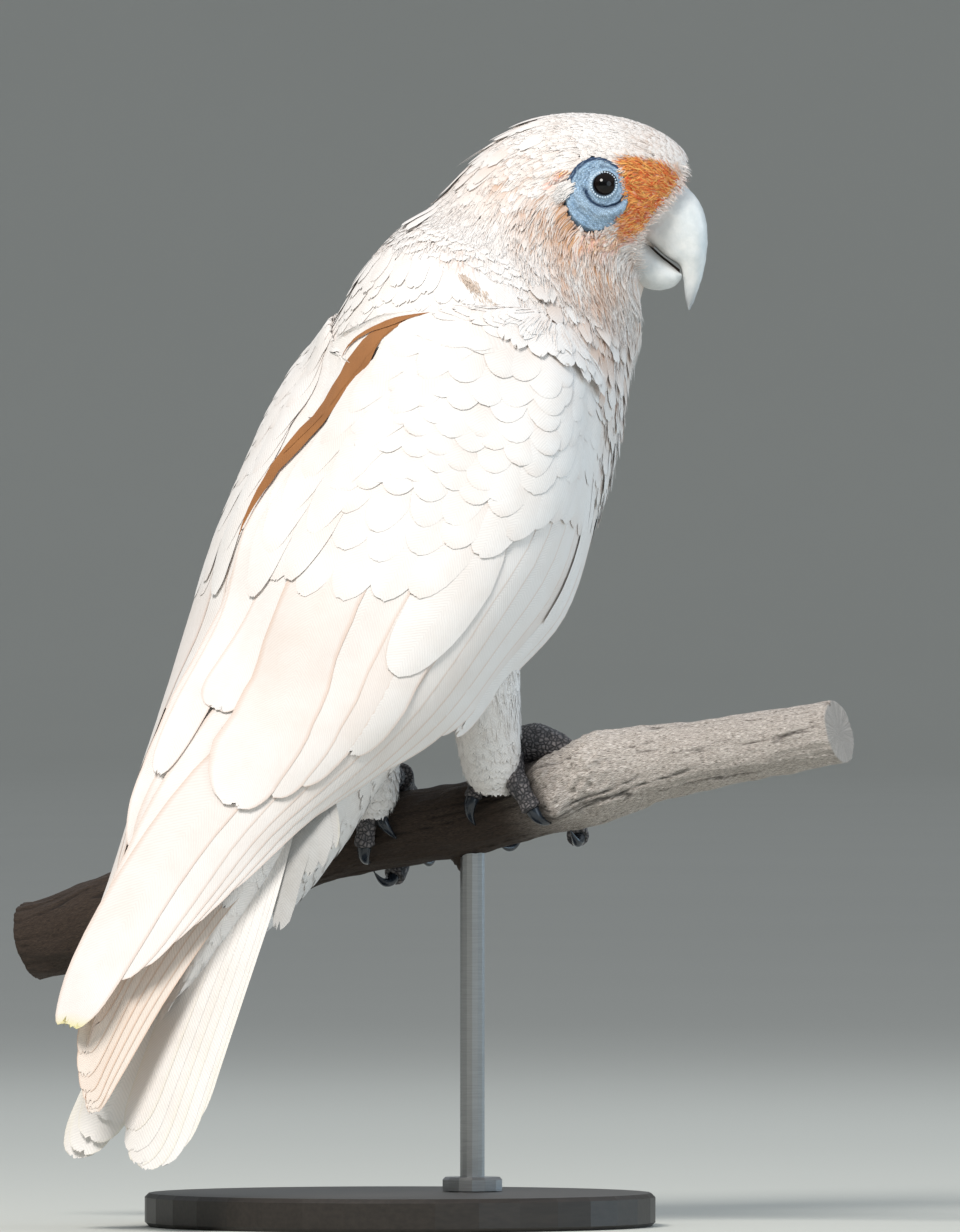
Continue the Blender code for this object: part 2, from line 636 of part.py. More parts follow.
def build_feet(perch, legs):
    skin = material("foot_scales", SCALE_GREY, 0.65)
    claw_horn = material("claw_horn", CLAW_GREY, 0.35)
    for leg, (name, side) in zip(legs, SIDES.items()):
        place = FOOT_PLACE[name]
        front = unit(branch_point(place, 90.0) - branch_point(place, -90.0))
        run = unit(branch_point(place + 5, 0.0) - branch_point(place - 5, 0.0))
        over = np.cross(front, run)
        over *= math.copysign(1.0, over[2])
        pad_centre = branch_point(place, -6.0, PAD_RADII[2] + CLEARANCE)
        foot = ball("foot_" + name, np.zeros(3), 1.0, 12, 8)
        for vertex in foot.data.vertices:
            x, y, z = vertex.co
            vertex.co = pad_centre + front * x * PAD_RADII[0] + run * y * PAD_RADII[1] \
                + over * z * PAD_RADII[2]
        face_out(foot)
        top = np.array(LEG_ROWS[-2][:3]) * (1, side, 1) + leg_shift(name) * 0.9 + (0, 0, 9.0)
        combine(foot, tube("shank", [top, (top + pad_centre) / 2, pad_centre],
                           [4.4, 4.0, 4.6], 8, up=(1.0, 0.0, 0.0)), "UNION")
        for toe, (start, drift, turn, last, thick, thin) in TOES.items():
            path, radii = [], []
            for f in np.linspace(0, 1, 7):
                knuckle = 1.0 + 0.10 * math.cos(2 * math.pi * 3 * f)
                radius = (thick + (thin - thick) * f) * knuckle
                path.append(branch_point(place + start - drift * f * side,
                                         turn + (last - turn) * f, radius + 1.6 * CLEARANCE))
                radii.append(radius)
            bar = tube("toe", path, radii, FACETS["toe"], up=tuple(run), bulge=(1.0, 1.0))
            combine(foot, bar, "UNION")
            ahead = unit(path[-1] - path[-2])
            centre = branch_point(place + start - drift * side, last, -40.0)
            inward = unit(centre - path[-1])
            root = path[-1] + ahead * (1.0 + 1.5 * CLEARANCE)
            curve, thinning = [], []
            for f in np.linspace(0, 1, 6):
                reach = f * CLAW_LENGTH
                curve.append(root + ahead * reach * (1 - 0.25 * f) + inward * 0.3 * reach * f)
                thinning.append(max(CLAW_RADIUS * (1 - f) ** 0.7, 0.25))
            claw = tube(f"claw_{name}_{toe}", curve, thinning, 6, up=tuple(run))
            finish(claw, claw_horn)
        finish(cut(foot, leg), skin)


def face_out(thing):
    whole = bmesh.new()
    whole.from_mesh(thing.data)
    bmesh.ops.recalc_face_normals(whole, faces=whole.faces)
    whole.to_mesh(thing.data)
    whole.free()


def turned(name, profile, centre, count):
    """A solid of revolution about an upright axis, from (radius, height) pairs."""
    rings = []
    for radius, height in profile:
        rings.append(np.array([
            (centre[0] + radius * math.cos(2 * math.pi * k / count),
             centre[1] + radius * math.sin(2 * math.pi * k / count), height)
            for k in range(count)
        ]))
    return loft(name, rings)


def build_stand(perch):
    plate = material("stand_base", STAND_GREY, 0.45)
    steel = material("stand_steel", STEEL, 0.3, 1.0)
    edge = BASE_EDGE
    base = turned("stand_base", (
        (BASE_RADIUS - edge, 0.0), (BASE_RADIUS, edge), (BASE_RADIUS, BASE_THICK - edge),
        (BASE_RADIUS - edge, BASE_THICK)), (0.0, 0.0), 36)
    foot = branch_point(ROD_ALONG, 180.0)
    low = BASE_THICK + CLEARANCE
    rod = turned("stand_rod", (
        (COLLAR_RADIUS, low), (COLLAR_RADIUS, low + COLLAR_HEIGHT - 1),
        (COLLAR_RADIUS - 1, low + COLLAR_HEIGHT), (ROD_RADIUS, low + COLLAR_HEIGHT + 0.01),
        (ROD_RADIUS, foot[2] + 6.0)), foot[:2], 14)
    cut(rod, perch)
    finish(base, plate)
    finish(rod, steel)
    return base, rod


def to_metres():
    for thing in bpy.context.scene.collection.objects:
        for vertex in thing.data.vertices:
            vertex.co *= MM
        thing.data.update()


def build():
    clear_scene()
    trunk, neck, skull = build_body()
    tails = build_tail(trunk)
    wings = build_wings(trunk, neck, skull, tails)
    build_eyes(skull)
    build_bill(skull)
    perch = build_perch()
    legs = build_legs(trunk, wings)
    build_feet(perch, legs)
    build_stand(perch)
    to_metres()


build()
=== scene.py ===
"""The looks of a western corella on a cut branch and a display stand.

Places in the tables are in millimetres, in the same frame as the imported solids: the body
faces +X, its left side is +Y, and +Z is up.  MM turns them into metres in each mesh.
"""

import math

import bmesh
import bpy
import numpy as np
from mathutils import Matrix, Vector
from mathutils.bvhtree import BVHTree


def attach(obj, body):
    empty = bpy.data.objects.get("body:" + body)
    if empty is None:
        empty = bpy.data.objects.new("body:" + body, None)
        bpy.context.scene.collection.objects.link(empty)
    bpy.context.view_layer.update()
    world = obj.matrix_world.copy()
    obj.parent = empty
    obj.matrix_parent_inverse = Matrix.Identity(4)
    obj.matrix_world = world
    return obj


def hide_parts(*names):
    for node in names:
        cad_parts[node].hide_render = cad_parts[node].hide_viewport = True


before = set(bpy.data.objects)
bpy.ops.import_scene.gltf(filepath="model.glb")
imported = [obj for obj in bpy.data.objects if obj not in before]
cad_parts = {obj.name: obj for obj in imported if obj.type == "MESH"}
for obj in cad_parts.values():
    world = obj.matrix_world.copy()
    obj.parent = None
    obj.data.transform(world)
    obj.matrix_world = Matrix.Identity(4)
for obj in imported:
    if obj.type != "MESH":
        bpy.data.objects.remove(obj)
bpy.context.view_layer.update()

MM = 0.001
SIDES = {"right": -1.0, "left": 1.0}

# ---------------------------------------------------------------- sizes of the bird

# Degrees that the head is turned to the bird's right, and how far ahead the neck's axis stands.
HEAD_TURN = 38.0
NECK_X = 59.4
# Places of the head are given as (ahead, up) in its own upright middle plane.
EYE = (26.6, 375.0)
EYEBALL_RADIUS = 5.6
EYE_OPENING = 3.75
ORBIT = (23.9, 371.6)
ORBIT_HALF_LENGTH, ORBIT_HALF_HEIGHT = 11.2, 13.2
# Beads along the lid's edge: their distance from the eye's middle, number, size, and how far
# they stand off the head.
LID_RADIUS, LID_BEADS, BEAD_SIZE, BEAD_RISE = 4.6, 30, 0.36, 1.55

# Stations up the body: ahead of the neck, height, turn to the right, pitch, and the reach
# towards the back, the belly and each side.
BODY_STATIONS = (
    (-159.0, 97.0, 0.0, 67.0, 3.0, 12.0, 12.0),
    (-146.0, 124.0, 0.0, 67.0, 8.0, 33.0, 22.0),
    (-129.0, 152.0, 0.0, 67.0, 14.0, 42.0, 28.0),
    (-111.0, 180.0, 0.0, 65.0, 24.0, 44.0, 35.0),
    (-91.0, 205.0, 0.0, 63.0, 36.0, 54.0, 45.0),
    (-70.5, 232.0, 0.0, 62.0, 43.0, 61.0, 52.0),
    (-53.0, 257.0, 0.0, 63.0, 48.0, 64.0, 55.0),
    (-38.0, 283.0, 0.0, 64.0, 52.0, 64.0, 54.0),
    (-26.5, 305.0, 0.0, 65.0, 54.0, 61.0, 50.0),
    (-17.0, 324.0, 4.0, 65.0, 52.0, 57.0, 45.0),
    (-8.0, 338.0, 16.0, 63.0, 46.5, 53.0, 40.0),
    (1.8, 348.0, 30.0, 60.0, 41.5, 46.0, 35.0),
    (9.4, 360.0, HEAD_TURN, 54.0, 38.3, 40.0, 31.0),
    (15.5, 366.5, HEAD_TURN, 45.6, 36.8, 36.4, 28.6),
    (23.8, 370.8, HEAD_TURN, 32.0, 34.8, 34.5, 27.2),
    (34.2, 371.5, HEAD_TURN, 17.0, 30.9, 30.9, 24.6),
    (42.5, 371.2, HEAD_TURN, 3.0, 26.3, 26.3, 21.0),
    (49.3, 369.7, HEAD_TURN, -12.6, 20.7, 20.7, 16.2),
    (53.3, 367.6, HEAD_TURN, -28.0, 14.3, 14.3, 11.2),
)
FACE = 18.0

# Sections along the bill: its upper edge, its lower edge and its half width.
BILL_UPPER = (
    ((47.0, 379.0), (36.0, 361.5), 11.0),
    ((55.5, 375.2), (40.0, 357.5), 10.9),
    ((61.0, 369.5), (44.6, 353.6), 10.2),
    ((63.8, 361.0), (49.2, 349.6), 9.0),
    ((63.9, 352.0), (54.0, 346.4), 7.2),
    ((62.6, 343.6), (55.4, 341.5), 4.6),
    ((60.2, 336.0), (56.3, 335.2), 2.5),
    ((57.9, 330.4), (57.3, 330.4), 0.5),
)
BILL_LOWER = (
    ((37.0, 359.0), (33.0, 345.0), 9.4),
    ((42.4, 354.6), (40.0, 339.2), 9.0),
    ((47.4, 350.0), (46.4, 337.4), 8.0),
    ((52.0, 346.4), (51.8, 338.6), 6.4),
    ((55.0, 344.0), (54.8, 341.4), 4.0),
)

# Rows down the folded wing: edge on the back, middle, edge on the belly side, thickness.
WING_ROWS = (
    ((22.0, -34.0, 326.0), (31.0, -44.0, 326.0), (44.0, -47.0, 320.0), 12.0),
    ((6.0, -14.0, 318.0), (22.0, -49.0, 320.0), (55.0, -47.0, 304.0), 16.0),
    ((-9.0, 0.0, 311.0), (16.0, -56.0, 306.0), (56.0, -46.0, 284.0), 16.0),
    ((-28.0, 2.0, 299.0), (6.0, -62.0, 281.0), (53.0, -46.0, 252.0), 16.0),
    ((-44.0, 4.0, 277.0), (-7.0, -63.0, 256.0), (38.0, -49.0, 223.0), 16.0),
    ((-60.0, 6.0, 252.0), (-24.0, -60.0, 232.0), (11.0, -50.0, 198.0), 15.0),
    ((-70.0, 8.0, 220.0), (-42.0, -53.0, 207.0), (-12.0, -48.0, 174.0), 12.0),
    ((-90.0, 8.0, 189.0), (-61.0, -43.0, 182.0), (-40.0, -41.0, 158.0), 7.0),
    ((-108.0, 8.0, 160.0), (-90.0, -23.0, 153.0), (-76.0, -33.0, 141.0), 4.0),
    ((-124.0, 8.0, 126.0), (-114.0, -9.0, 123.0), (-104.0, -21.0, 118.0), 3.0),
    ((-140.0, 9.0, 92.0), (-136.5, 0.0, 90.0), (-131.5, -9.0, 88.0), 2.2),
    ((-148.0, 7.0, 72.0), (-146.0, 3.0, 72.5), (-143.5, -1.0, 74.0), 1.4),
)
PRIMARY_ROWS = (
    ((-40.0, -14.0, 190.0), (-30.0, -36.0, 178.0), (-22.0, -44.0, 160.0), 6.0),
    ((-74.0, -4.0, 160.0), (-62.0, -26.0, 150.0), (-52.0, -36.0, 136.0), 4.0),
    ((-104.0, 0.0, 126.0), (-94.0, -17.0, 120.0), (-86.0, -28.0, 112.0), 3.0),
    ((-126.0, 3.0, 92.0), (-118.0, -9.0, 88.0), (-110.0, -19.0, 84.0), 2.4),
    ((-139.0, 4.0, 62.0), (-134.0, -3.0, 60.0), (-128.0, -11.0, 60.0), 1.8),
    ((-143.0, -1.0, 43.0), (-142.0, -2.5, 42.0), (-140.0, -4.0, 42.0), 1.0),
)
LEFT_WING_LIFT, LEFT_WING_TUCK, LEFT_WING_UNDER = 23.0, 0.22, 3.0
WING_SEAM = (7.0, 2.6)
WING_LEAST = 5.5

TAIL_BASE, TAIL_TIP = (-70.0, 0.0, 164.0), (-130.0, 0.0, 20.5)
TAIL_ROOF, TAIL_SPREAD = 12.0, 33.0
TAIL_SWING = {"right": 1.0, "left": 17.0}
TAIL_LENGTH = {"right": 1.0, "left": 0.975}

# The branch: distance along it, height and radius; then its swellings: distance along it, angle
# round it, height, length and width in degrees.
BRANCH_MIDDLE = (27.4, 0.0)
BRANCH_HEADING = -63.0
BRANCH_STATIONS = (
    (-172.0, 101.5, 14.4),
    (-143.0, 109.0, 15.6),
    (-112.0, 119.0, 15.0),
    (-83.0, 127.0, 13.4),
    (-52.0, 136.6, 12.8),
    (-20.0, 143.0, 13.6),
    (0.0, 146.0, 13.6),
    (20.0, 150.6, 13.6),
    (40.0, 156.0, 14.2),
    (56.0, 161.5, 15.8),
    (76.0, 166.5, 14.0),
    (110.0, 172.0, 12.4),
    (150.0, 178.0, 11.6),
)
BRANCH_LUMPS = (
    (41.0, -62.0, 6.0, 6.0, 24.0),
    (44.0, -112.0, 6.5, 5.0, 22.0),
    (58.0, -70.0, 3.5, 12.0, 55.0),
)
TWIG = ((-6.0, 178.0), 8.0, 3.6)

# Toes: where they start along the branch, how far they drift along it, the angles round it at
# which they start and end, and their thickness at both ends.
FOOT_PLACE = {"right": 23.0, "left": -26.0}
FEATHERS_END = (-66.0, 5.5)
TOES = {
    "inner_front": (-3.0, -7.0, 10.0, 118.0, 4.6, 3.4),
    "outer_front": (4.0, 12.0, 10.0, 150.0, 5.0, 3.6),
    "inner_hind": (-3.0, -6.0, -20.0, -72.0, 4.0, 3.0),
    "outer_hind": (4.0, 9.0, -20.0, -104.0, 4.6, 3.4),
}
CLAW_LENGTH, CLAW_RADIUS = 13.0, 2.3
PAD_RADII = (8.0, 8.5, 5.5)
TOE_GAP = 0.56
# Rows down the leg: ahead, out to the side, height, and its reach ahead and to the side.
LEG_ROWS = (
    (4.0, 30.0, 236.0, 22.0, 15.0),
    (10.0, 30.0, 214.0, 19.0, 14.0),
    (17.0, 27.5, 194.0, 14.5, 12.5),
    (22.5, 24.5, 177.0, 11.5, 10.5),
    (26.5, 22.0, 163.0, 8.5, 8.0),
    (28.0, 21.5, 157.5, 4.5, 4.5),
)

# How deep the coat lies over the skin, at places up the body.
COAT_DEPTH = ((0.0, 3.0), (3.0, 5.0), (8.0, 5.0), (10.5, 3.6), (12.5, 2.4), (15.0, 1.8), (18.0, 1.2))

# ---------------------------------------------------------------- shapes in numbers


def unit(vectors):
    """Vectors drawn to a length of one."""
    vectors = np.asarray(vectors, float)
    return vectors / np.maximum(np.linalg.norm(vectors, axis=-1, keepdims=True), 1e-9)


def facing(turn, pitch):
    """The unit vectors that face this far to the bird's right and above level."""
    t, p = np.radians(turn), np.radians(pitch)
    return np.stack((np.cos(p) * np.cos(t), -np.cos(p) * np.sin(t), np.sin(p)), axis=-1)


def read_rows(table, s):
    """Rows of a table at any places between them, on a curve through every row."""
    table, s = np.asarray(table, float), np.asarray(s, float)
    last = len(table) - 1
    i = np.clip(s.astype(int), 0, last - 1)
    f = (s - i)[..., None]
    a, b, c, d = (table[np.clip(i + k, 0, last)] for k in (-1, 0, 1, 2))
    return b + 0.5 * f * (c - a + f * (2 * a - 5 * b + 4 * c - d + f * (3 * (b - c) + d - a)))


def in_head(ahead, up, out=0.0):
    """Points of the head's upright middle plane, moved out to the bird's right of it."""
    ahead, up, out = np.broadcast_arrays(*(np.asarray(n, float) for n in (ahead, up, out)))
    turn = math.radians(HEAD_TURN)
    return np.stack((
        NECK_X + ahead * math.cos(turn) - out * math.sin(turn),
        -ahead * math.sin(turn) - out * math.cos(turn),
        up,
    ), axis=-1)


def head_place(points):
    """How far ahead, up and out to the right points lie, in the head's own plane."""
    turn = math.radians(HEAD_TURN)
    x, y = points[..., 0] - NECK_X, points[..., 1]
    return (x * math.cos(turn) - y * math.sin(turn), points[..., 2],
            -x * math.sin(turn) - y * math.cos(turn))


def full_turn(count):
    """Angles set evenly round a circle."""
    return np.linspace(0, 2 * math.pi, count, endpoint=False)


def hill(value, middle, width):
    """1 at `middle`, and less on both sides of it."""
    return np.exp(-((value - middle) / width) ** 2)


def smooth_step(low, high, value):
    """A soft step from 0 at `low` to 1 at `high`, either of which may be the larger."""
    f = np.clip((value - low) / (high - low), 0.0, 1.0)
    return f * f * (3 - 2 * f)


def swirl(points, scale, seed=0):
    """A soft pattern between -1 and 1 over points in space, about `scale` mm across."""
    rng = np.random.default_rng(seed)
    total = np.zeros(points.shape[:-1])
    for k in range(7):
        way = unit(rng.normal(size=3)) * (2 * math.pi / scale) * rng.uniform(0.6, 1.5)
        total += np.sin(points @ way + rng.uniform(0, 6.28)
                        + 1.4 * np.sin(points @ unit(rng.normal(size=3)) * 3.0 / scale + k))
    return total / 4.2


class Sheet:
    """A smooth surface through a grid of points, read anywhere by two numbers.

    The first runs from 0 to high[0] over the grid's rows, and the second from 0 to
    high[1] over its columns.  Past an open edge the surface carries on straight.
    `core` is a place on its inner side, so that normals point away from it, and
    `run` is +1 where the coat lies towards later rows and -1 towards earlier ones.
    """

    def __init__(self, grid, high, core, closed=False, run=1.0):
        self.high, self.closed, self.run = high, closed, run
        if closed:
            grid = np.concatenate((grid, grid[:, :1]), axis=1)
        rows, columns = grid.shape[:2]
        self.step = (high[0] / (rows - 1), high[1] / (columns - 1))
        along = np.gradient(grid, self.step[0], axis=0)
        if closed:
            wide = np.concatenate((grid[:, -2:-1], grid, grid[:, 1:2]), axis=1)
            across = np.gradient(wide, self.step[1], axis=1)[:, 1:-1]
        else:
            across = np.gradient(grid, self.step[1], axis=1)
        normal = unit(np.cross(along, across))
        core = np.asarray(core, float)
        if core.ndim == 2:
            core = core[:, None]
        if np.sum(normal * (grid - core)) < 0:
            normal = -normal
        self.fields = np.concatenate((grid, normal, along, across), axis=2)

    def at(self, u, v):
        if self.closed:
            v = np.mod(v, self.high[1])
        inside_u, inside_v = np.clip(u, 0, self.high[0]), np.clip(v, 0, self.high[1])
        x, y = inside_u / self.step[0], inside_v / self.step[1]
        i = np.minimum(x.astype(int), self.fields.shape[0] - 2)
        k = np.minimum(y.astype(int), self.fields.shape[1] - 2)
        x, y = (x - i)[..., None], (y - k)[..., None]
        f = self.fields
        read = (f[i, k] * (1 - y) + f[i, k + 1] * y) * (1 - x) \
            + (f[i + 1, k] * (1 - y) + f[i + 1, k + 1] * y) * x
        point, normal, along, across = (read[..., n:n + 3] for n in (0, 3, 6, 9))
        point = point + along * (u - inside_u)[..., None] + across * (v - inside_v)[..., None]
        return point, unit(normal), along, across


def body_grid(rows, count, inset=0.0, low=0.0, high=FACE):
    """Rings of the body's outline, from the back round by the right side."""
    s = np.linspace(low, high, rows)
    ahead, up, turn, pitch, back, belly, side = read_rows(BODY_STATIONS, s).T
    inset = np.broadcast_to(inset, s.shape)
    middle = facing(turn, 0.0 * turn) * ahead[:, None] + np.stack((0 * up + NECK_X, 0 * up, up), 1)
    ways, dorsal = facing(turn, pitch), facing(turn, pitch + 90.0)
    right = np.cross(ways, dorsal)
    a = full_turn(count)
    reach = np.where(np.cos(a) > 0, back[:, None], belly[:, None]) - inset[:, None]
    over = dorsal[:, None] * (np.cos(a) * reach)[..., None]
    out = right[:, None] * (np.sin(a) * (side - inset)[:, None])[..., None]
    return middle[:, None] + over + out, middle


def grid_faces(rows, columns, closed, start=0):
    """Quads over a grid of points, round and round where it is closed."""
    net = np.arange(rows * columns).reshape(rows, columns) + start
    if closed:
        net = np.concatenate((net, net[:, :1]), axis=1)
    return np.stack((net[:-1, :-1], net[:-1, 1:], net[1:, 1:], net[1:, :-1]), -1).reshape(-1, 4)


body_points, body_middle = body_grid(241, 160)
body_sheet = Sheet(body_points, (FACE, 2 * math.pi), body_middle, closed=True, run=-1.0)
body_tree = BVHTree.FromPolygons(body_points.reshape(-1, 3).tolist(),
                                 grid_faces(241, 160, True).tolist())


def wing_sheet(rows, side, lift, on_body):
    """The outer face of a folded wing, on the same rule as its solid."""
    table = np.array([(*first, *middle, *end, thick) for first, middle, end, thick in rows])
    last = len(rows) - 1
    s, f = np.linspace(0, last, 12 * last + 1), np.linspace(0, 1, 61)
    read = read_rows(table, s)
    first, middle, end = read[:, 0:3].copy(), read[:, 3:6].copy(), read[:, 6:9].copy()
    if side > 0:
        seam = np.maximum(first[:, 1], 0.0)
        fold = 1.0 - LEFT_WING_TUCK * s / last
        gap = WING_SEAM[0] + (WING_SEAM[1] - WING_SEAM[0]) * s / last
        for points in (first, middle, end):
            points[:, 0] += LEFT_WING_UNDER * s / last
            points[:, 1] = seam + (seam - points[:, 1]) * fold + gap
    control = 2 * middle - 0.5 * (first + end)
    t = f[None, :, None]
    outer = (1 - t) ** 2 * first[:, None] + 2 * t * (1 - t) * control[:, None] + t * t * end[:, None]
    normal = unit(np.cross(np.gradient(outer, axis=1), np.gradient(outer, axis=0))) * side
    edge = np.sqrt(np.maximum(np.sin(math.pi * f), 0.0))
    fade = (1 - s / last) ** 1.3 * np.minimum(1.0, s * (17.0 / last) / 3.0)
    outer = outer + normal * (lift * fade[:, None] * (edge * (1 - f))[None])[..., None]
    if on_body:
        for i in range(len(s)):
            for k in range(len(f)):
                place, out, _, _ = body_tree.find_nearest(tuple(outer[i, k]))
                place, out = np.array(place), np.array(out)
                if out @ normal[i, k] < 0:
                    out = -out
                least = WING_LEAST * (0.4 + 0.6 * edge[k]) * min(1.0, 0.5 + s[i] * 17 / 66)
                short = least - float((outer[i, k] - place) @ out)
                if short > 0:
                    outer[i, k] += out * short
        for _ in range(3):
            outer[1:-1, 1:-1] += 0.25 * (outer[2:, 1:-1] + outer[:-2, 1:-1] + outer[1:-1, 2:]
                                         + outer[1:-1, :-2] - 4 * outer[1:-1, 1:-1])
    sheet = Sheet(outer, (float(last), 1.0), (0, 0, 0))
    if np.sum(sheet.fields[..., 3:6] * normal) < 0:
        sheet.fields[..., 3:6] *= -1
    return sheet


def tail_sheet(name):
    """The upper face of half the tail, from its root to its tip and the middle outwards."""
    base, tip = np.array(TAIL_BASE), np.array(TAIL_TIP)
    under = np.cross(unit(tip - base), (0.0, 1.0, 0.0))
    under *= math.copysign(1.0, under[0])
    t, f = np.meshgrid(np.linspace(0, 1, 61), np.linspace(0, 1, 21), indexing="ij")
    out = f * TAIL_SPREAD + TAIL_SWING[name] * t ** 2
    roof = TAIL_ROOF * (f * TAIL_SPREAD / 34.0) ** 2
    sideways = np.zeros(t.shape + (3,))
    sideways[..., 1] = SIDES[name] * (out + 0.2)
    grid = base + (tip - base) * (t * TAIL_LENGTH[name])[..., None] + sideways \
        + under * roof[..., None]
    return Sheet(grid, (1.0, 1.0), base + under * 400.0)


def bark_point(along, angle, out=0.0):
    """Points of the bark, at angles from the top towards the bird's front."""
    along, angle, out = np.broadcast_arrays(*(np.asarray(n, float) for n in (along, angle, out)))
    s = np.interp(along, [row[0] for row in BRANCH_STATIONS], range(len(BRANCH_STATIONS)))
    read = read_rows(BRANCH_STATIONS, s)
    height, radius = read[..., 1], read[..., 2].copy()
    for place, where, swell, length, spread in BRANCH_LUMPS:
        turn = (angle - where + 180.0) % 360.0 - 180.0
        radius += swell * np.exp(-(((along - place) / length) ** 2) - (turn / spread) ** 2)
    heading = math.radians(BRANCH_HEADING)
    plan = np.array((math.cos(heading), math.sin(heading), 0.0))
    front = np.array((-math.sin(heading), math.cos(heading), 0.0))
    over = np.cross(front, unit(plan + np.array((0.0, 0.0, 0.22))))
    over *= math.copysign(1.0, over[2])
    a = np.radians(angle)[..., None]
    point = plan * along[..., None] + (over * np.cos(a) + front * np.sin(a)) * (radius + out)[..., None]
    point[..., 0] += BRANCH_MIDDLE[0]
    point[..., 1] += BRANCH_MIDDLE[1]
    point[..., 2] += height
    return point


def leg_shift(name):
    """How far a foot stands from the place under its own side of the body."""
    wanted = np.array((LEG_ROWS[-1][0], SIDES[name] * LEG_ROWS[-1][1], LEG_ROWS[-1][2]))
    return bark_point(FOOT_PLACE[name], *FEATHERS_END) - wanted


def leg_grid(name, rows, count, inset=0.0):
    """Rings of points down a leg, and the places of their middles."""
    ahead, out, height, length, width = read_rows(LEG_ROWS, np.linspace(0, 5, rows)).T
    fall = (LEG_ROWS[0][2] - height) / (LEG_ROWS[0][2] - LEG_ROWS[-1][2])
    middle = np.stack((ahead, SIDES[name] * out, height), 1) + leg_shift(name) * fall[:, None]
    a = full_turn(count)
    ring = np.stack((np.cos(a) * (length - inset)[:, None], np.sin(a) * (width - inset)[:, None],
                     np.zeros((rows, count))), -1)
    return middle[:, None] + ring, middle


wings = {n: wing_sheet(WING_ROWS, side, LEFT_WING_LIFT if side > 0 else 0.0, True)
         for n, side in SIDES.items()}
quills = {n: wing_sheet(PRIMARY_ROWS, side, 0.0, False) for n, side in SIDES.items()}
tails = {n: tail_sheet(n) for n in SIDES}
thighs = {}
for leg_name in SIDES:
    leg_points, leg_middle = leg_grid(leg_name, 61, 48)
    thighs[leg_name] = Sheet(leg_points, (5.0, 2 * math.pi), leg_middle, closed=True)

# ---------------------------------------------------------------- meshes


def linked(name, data):
    """A new thing in the scene."""
    thing = bpy.data.objects.new(name, data)
    bpy.context.scene.collection.objects.link(thing)
    return thing


def solid(name, points, faces, look, uvs=None, marks=None, crisp=None):
    """A mesh object from arrays in millimetres, with its UV maps and its marks."""
    points, faces = np.asarray(points, float).reshape(-1, 3), np.asarray(faces)
    mesh = bpy.data.meshes.new(name)
    mesh.vertices.add(len(points))
    mesh.vertices.foreach_set("co", (points * MM).astype(np.float32).ravel())
    mesh.loops.add(faces.size)
    mesh.loops.foreach_set("vertex_index", faces.astype(np.int32).ravel())
    mesh.polygons.add(len(faces))
    mesh.polygons.foreach_set("loop_start", np.arange(0, faces.size, faces.shape[1], dtype=np.int32))
    mesh.update(calc_edges=True)
    for map_name, uv in (uvs or {}).items():
        layer = mesh.uv_layers.new(name=map_name)
        layer.data.foreach_set("uv", uv[faces.ravel()].astype(np.float32).ravel())
    if marks is not None:
        layer = mesh.attributes.new("marks", "FLOAT_COLOR", "POINT")
        layer.data.foreach_set("color", marks.astype(np.float32).ravel())
    mesh.validate()
    mesh.polygons.foreach_set("use_smooth", np.full(len(mesh.polygons), True))
    if crisp:
        mesh.set_sharp_from_angle(angle=math.radians(crisp))
    mesh.materials.append(look)
    thing = linked(name, mesh)
    return thing


def face_out(thing, merge=0.0):
    """Joins doubled points and turns every face of a closed mesh outwards."""
    whole = bmesh.new()
    whole.from_mesh(thing.data)
    if merge:
        bmesh.ops.remove_doubles(whole, verts=whole.verts, dist=merge * MM)
    bmesh.ops.recalc_face_normals(whole, faces=whole.faces)
    whole.to_mesh(thing.data)
    whole.free()
    return thing


def ring_marks(points, *layers):
    """Marks for the points of a loft, from one grid for each of them."""
    marks = np.zeros((len(points), 4))
    for k, layer in enumerate(layers):
        marks[:layer.size, k] = layer.ravel()
    return marks


def loft_arrays(grid, bulge_low=0.0, bulge_high=0.0, start=0):
    """Points and quads of a closed skin over rings, drawn to a point at each end."""
    rows, count = grid.shape[:2]
    low, high = grid[0].mean(0), grid[-1].mean(0)
    low = low + unit(low - grid[1].mean(0)) * bulge_low
    high = high + unit(high - grid[-2].mean(0)) * bulge_high
    points = np.concatenate((grid.reshape(-1, 3), low[None], high[None]))
    faces = [grid_faces(rows, count, True)]
    for middle, first in ((rows * count, 0), (rows * count + 1, (rows - 1) * count)):
        k = np.arange(0, count, 2)
        fan = np.stack((first + k, np.full(len(k), middle), first + (k + 2) % count,
                        first + (k + 1) % count), -1)
        faces.append(fan)
    return points, np.concatenate(faces) + start


def tube_grid(path, radii, count, up, squash=1.0):
    """Rings of points round a path."""
    path = np.asarray(path, float)
    along = unit(np.gradient(path, axis=0))
    side = unit(np.cross(along, np.asarray(up, float)))
    over = np.cross(side, along)
    a = full_turn(count)
    radii = np.asarray(radii, float)[:, None, None]
    return path[:, None] + radii * (side[:, None] * np.cos(a)[None, :, None]
                                    + over[:, None] * np.sin(a)[None, :, None] * squash)


def gathered(parts):
    """Several (points, faces) parts as one, each face counting its own part's points."""
    points, faces, start = [], [], 0
    for part_points, part_faces in parts:
        points.append(part_points)
        faces.append(part_faces + start)
        start += len(part_points)
    return np.concatenate(points), np.concatenate(faces)


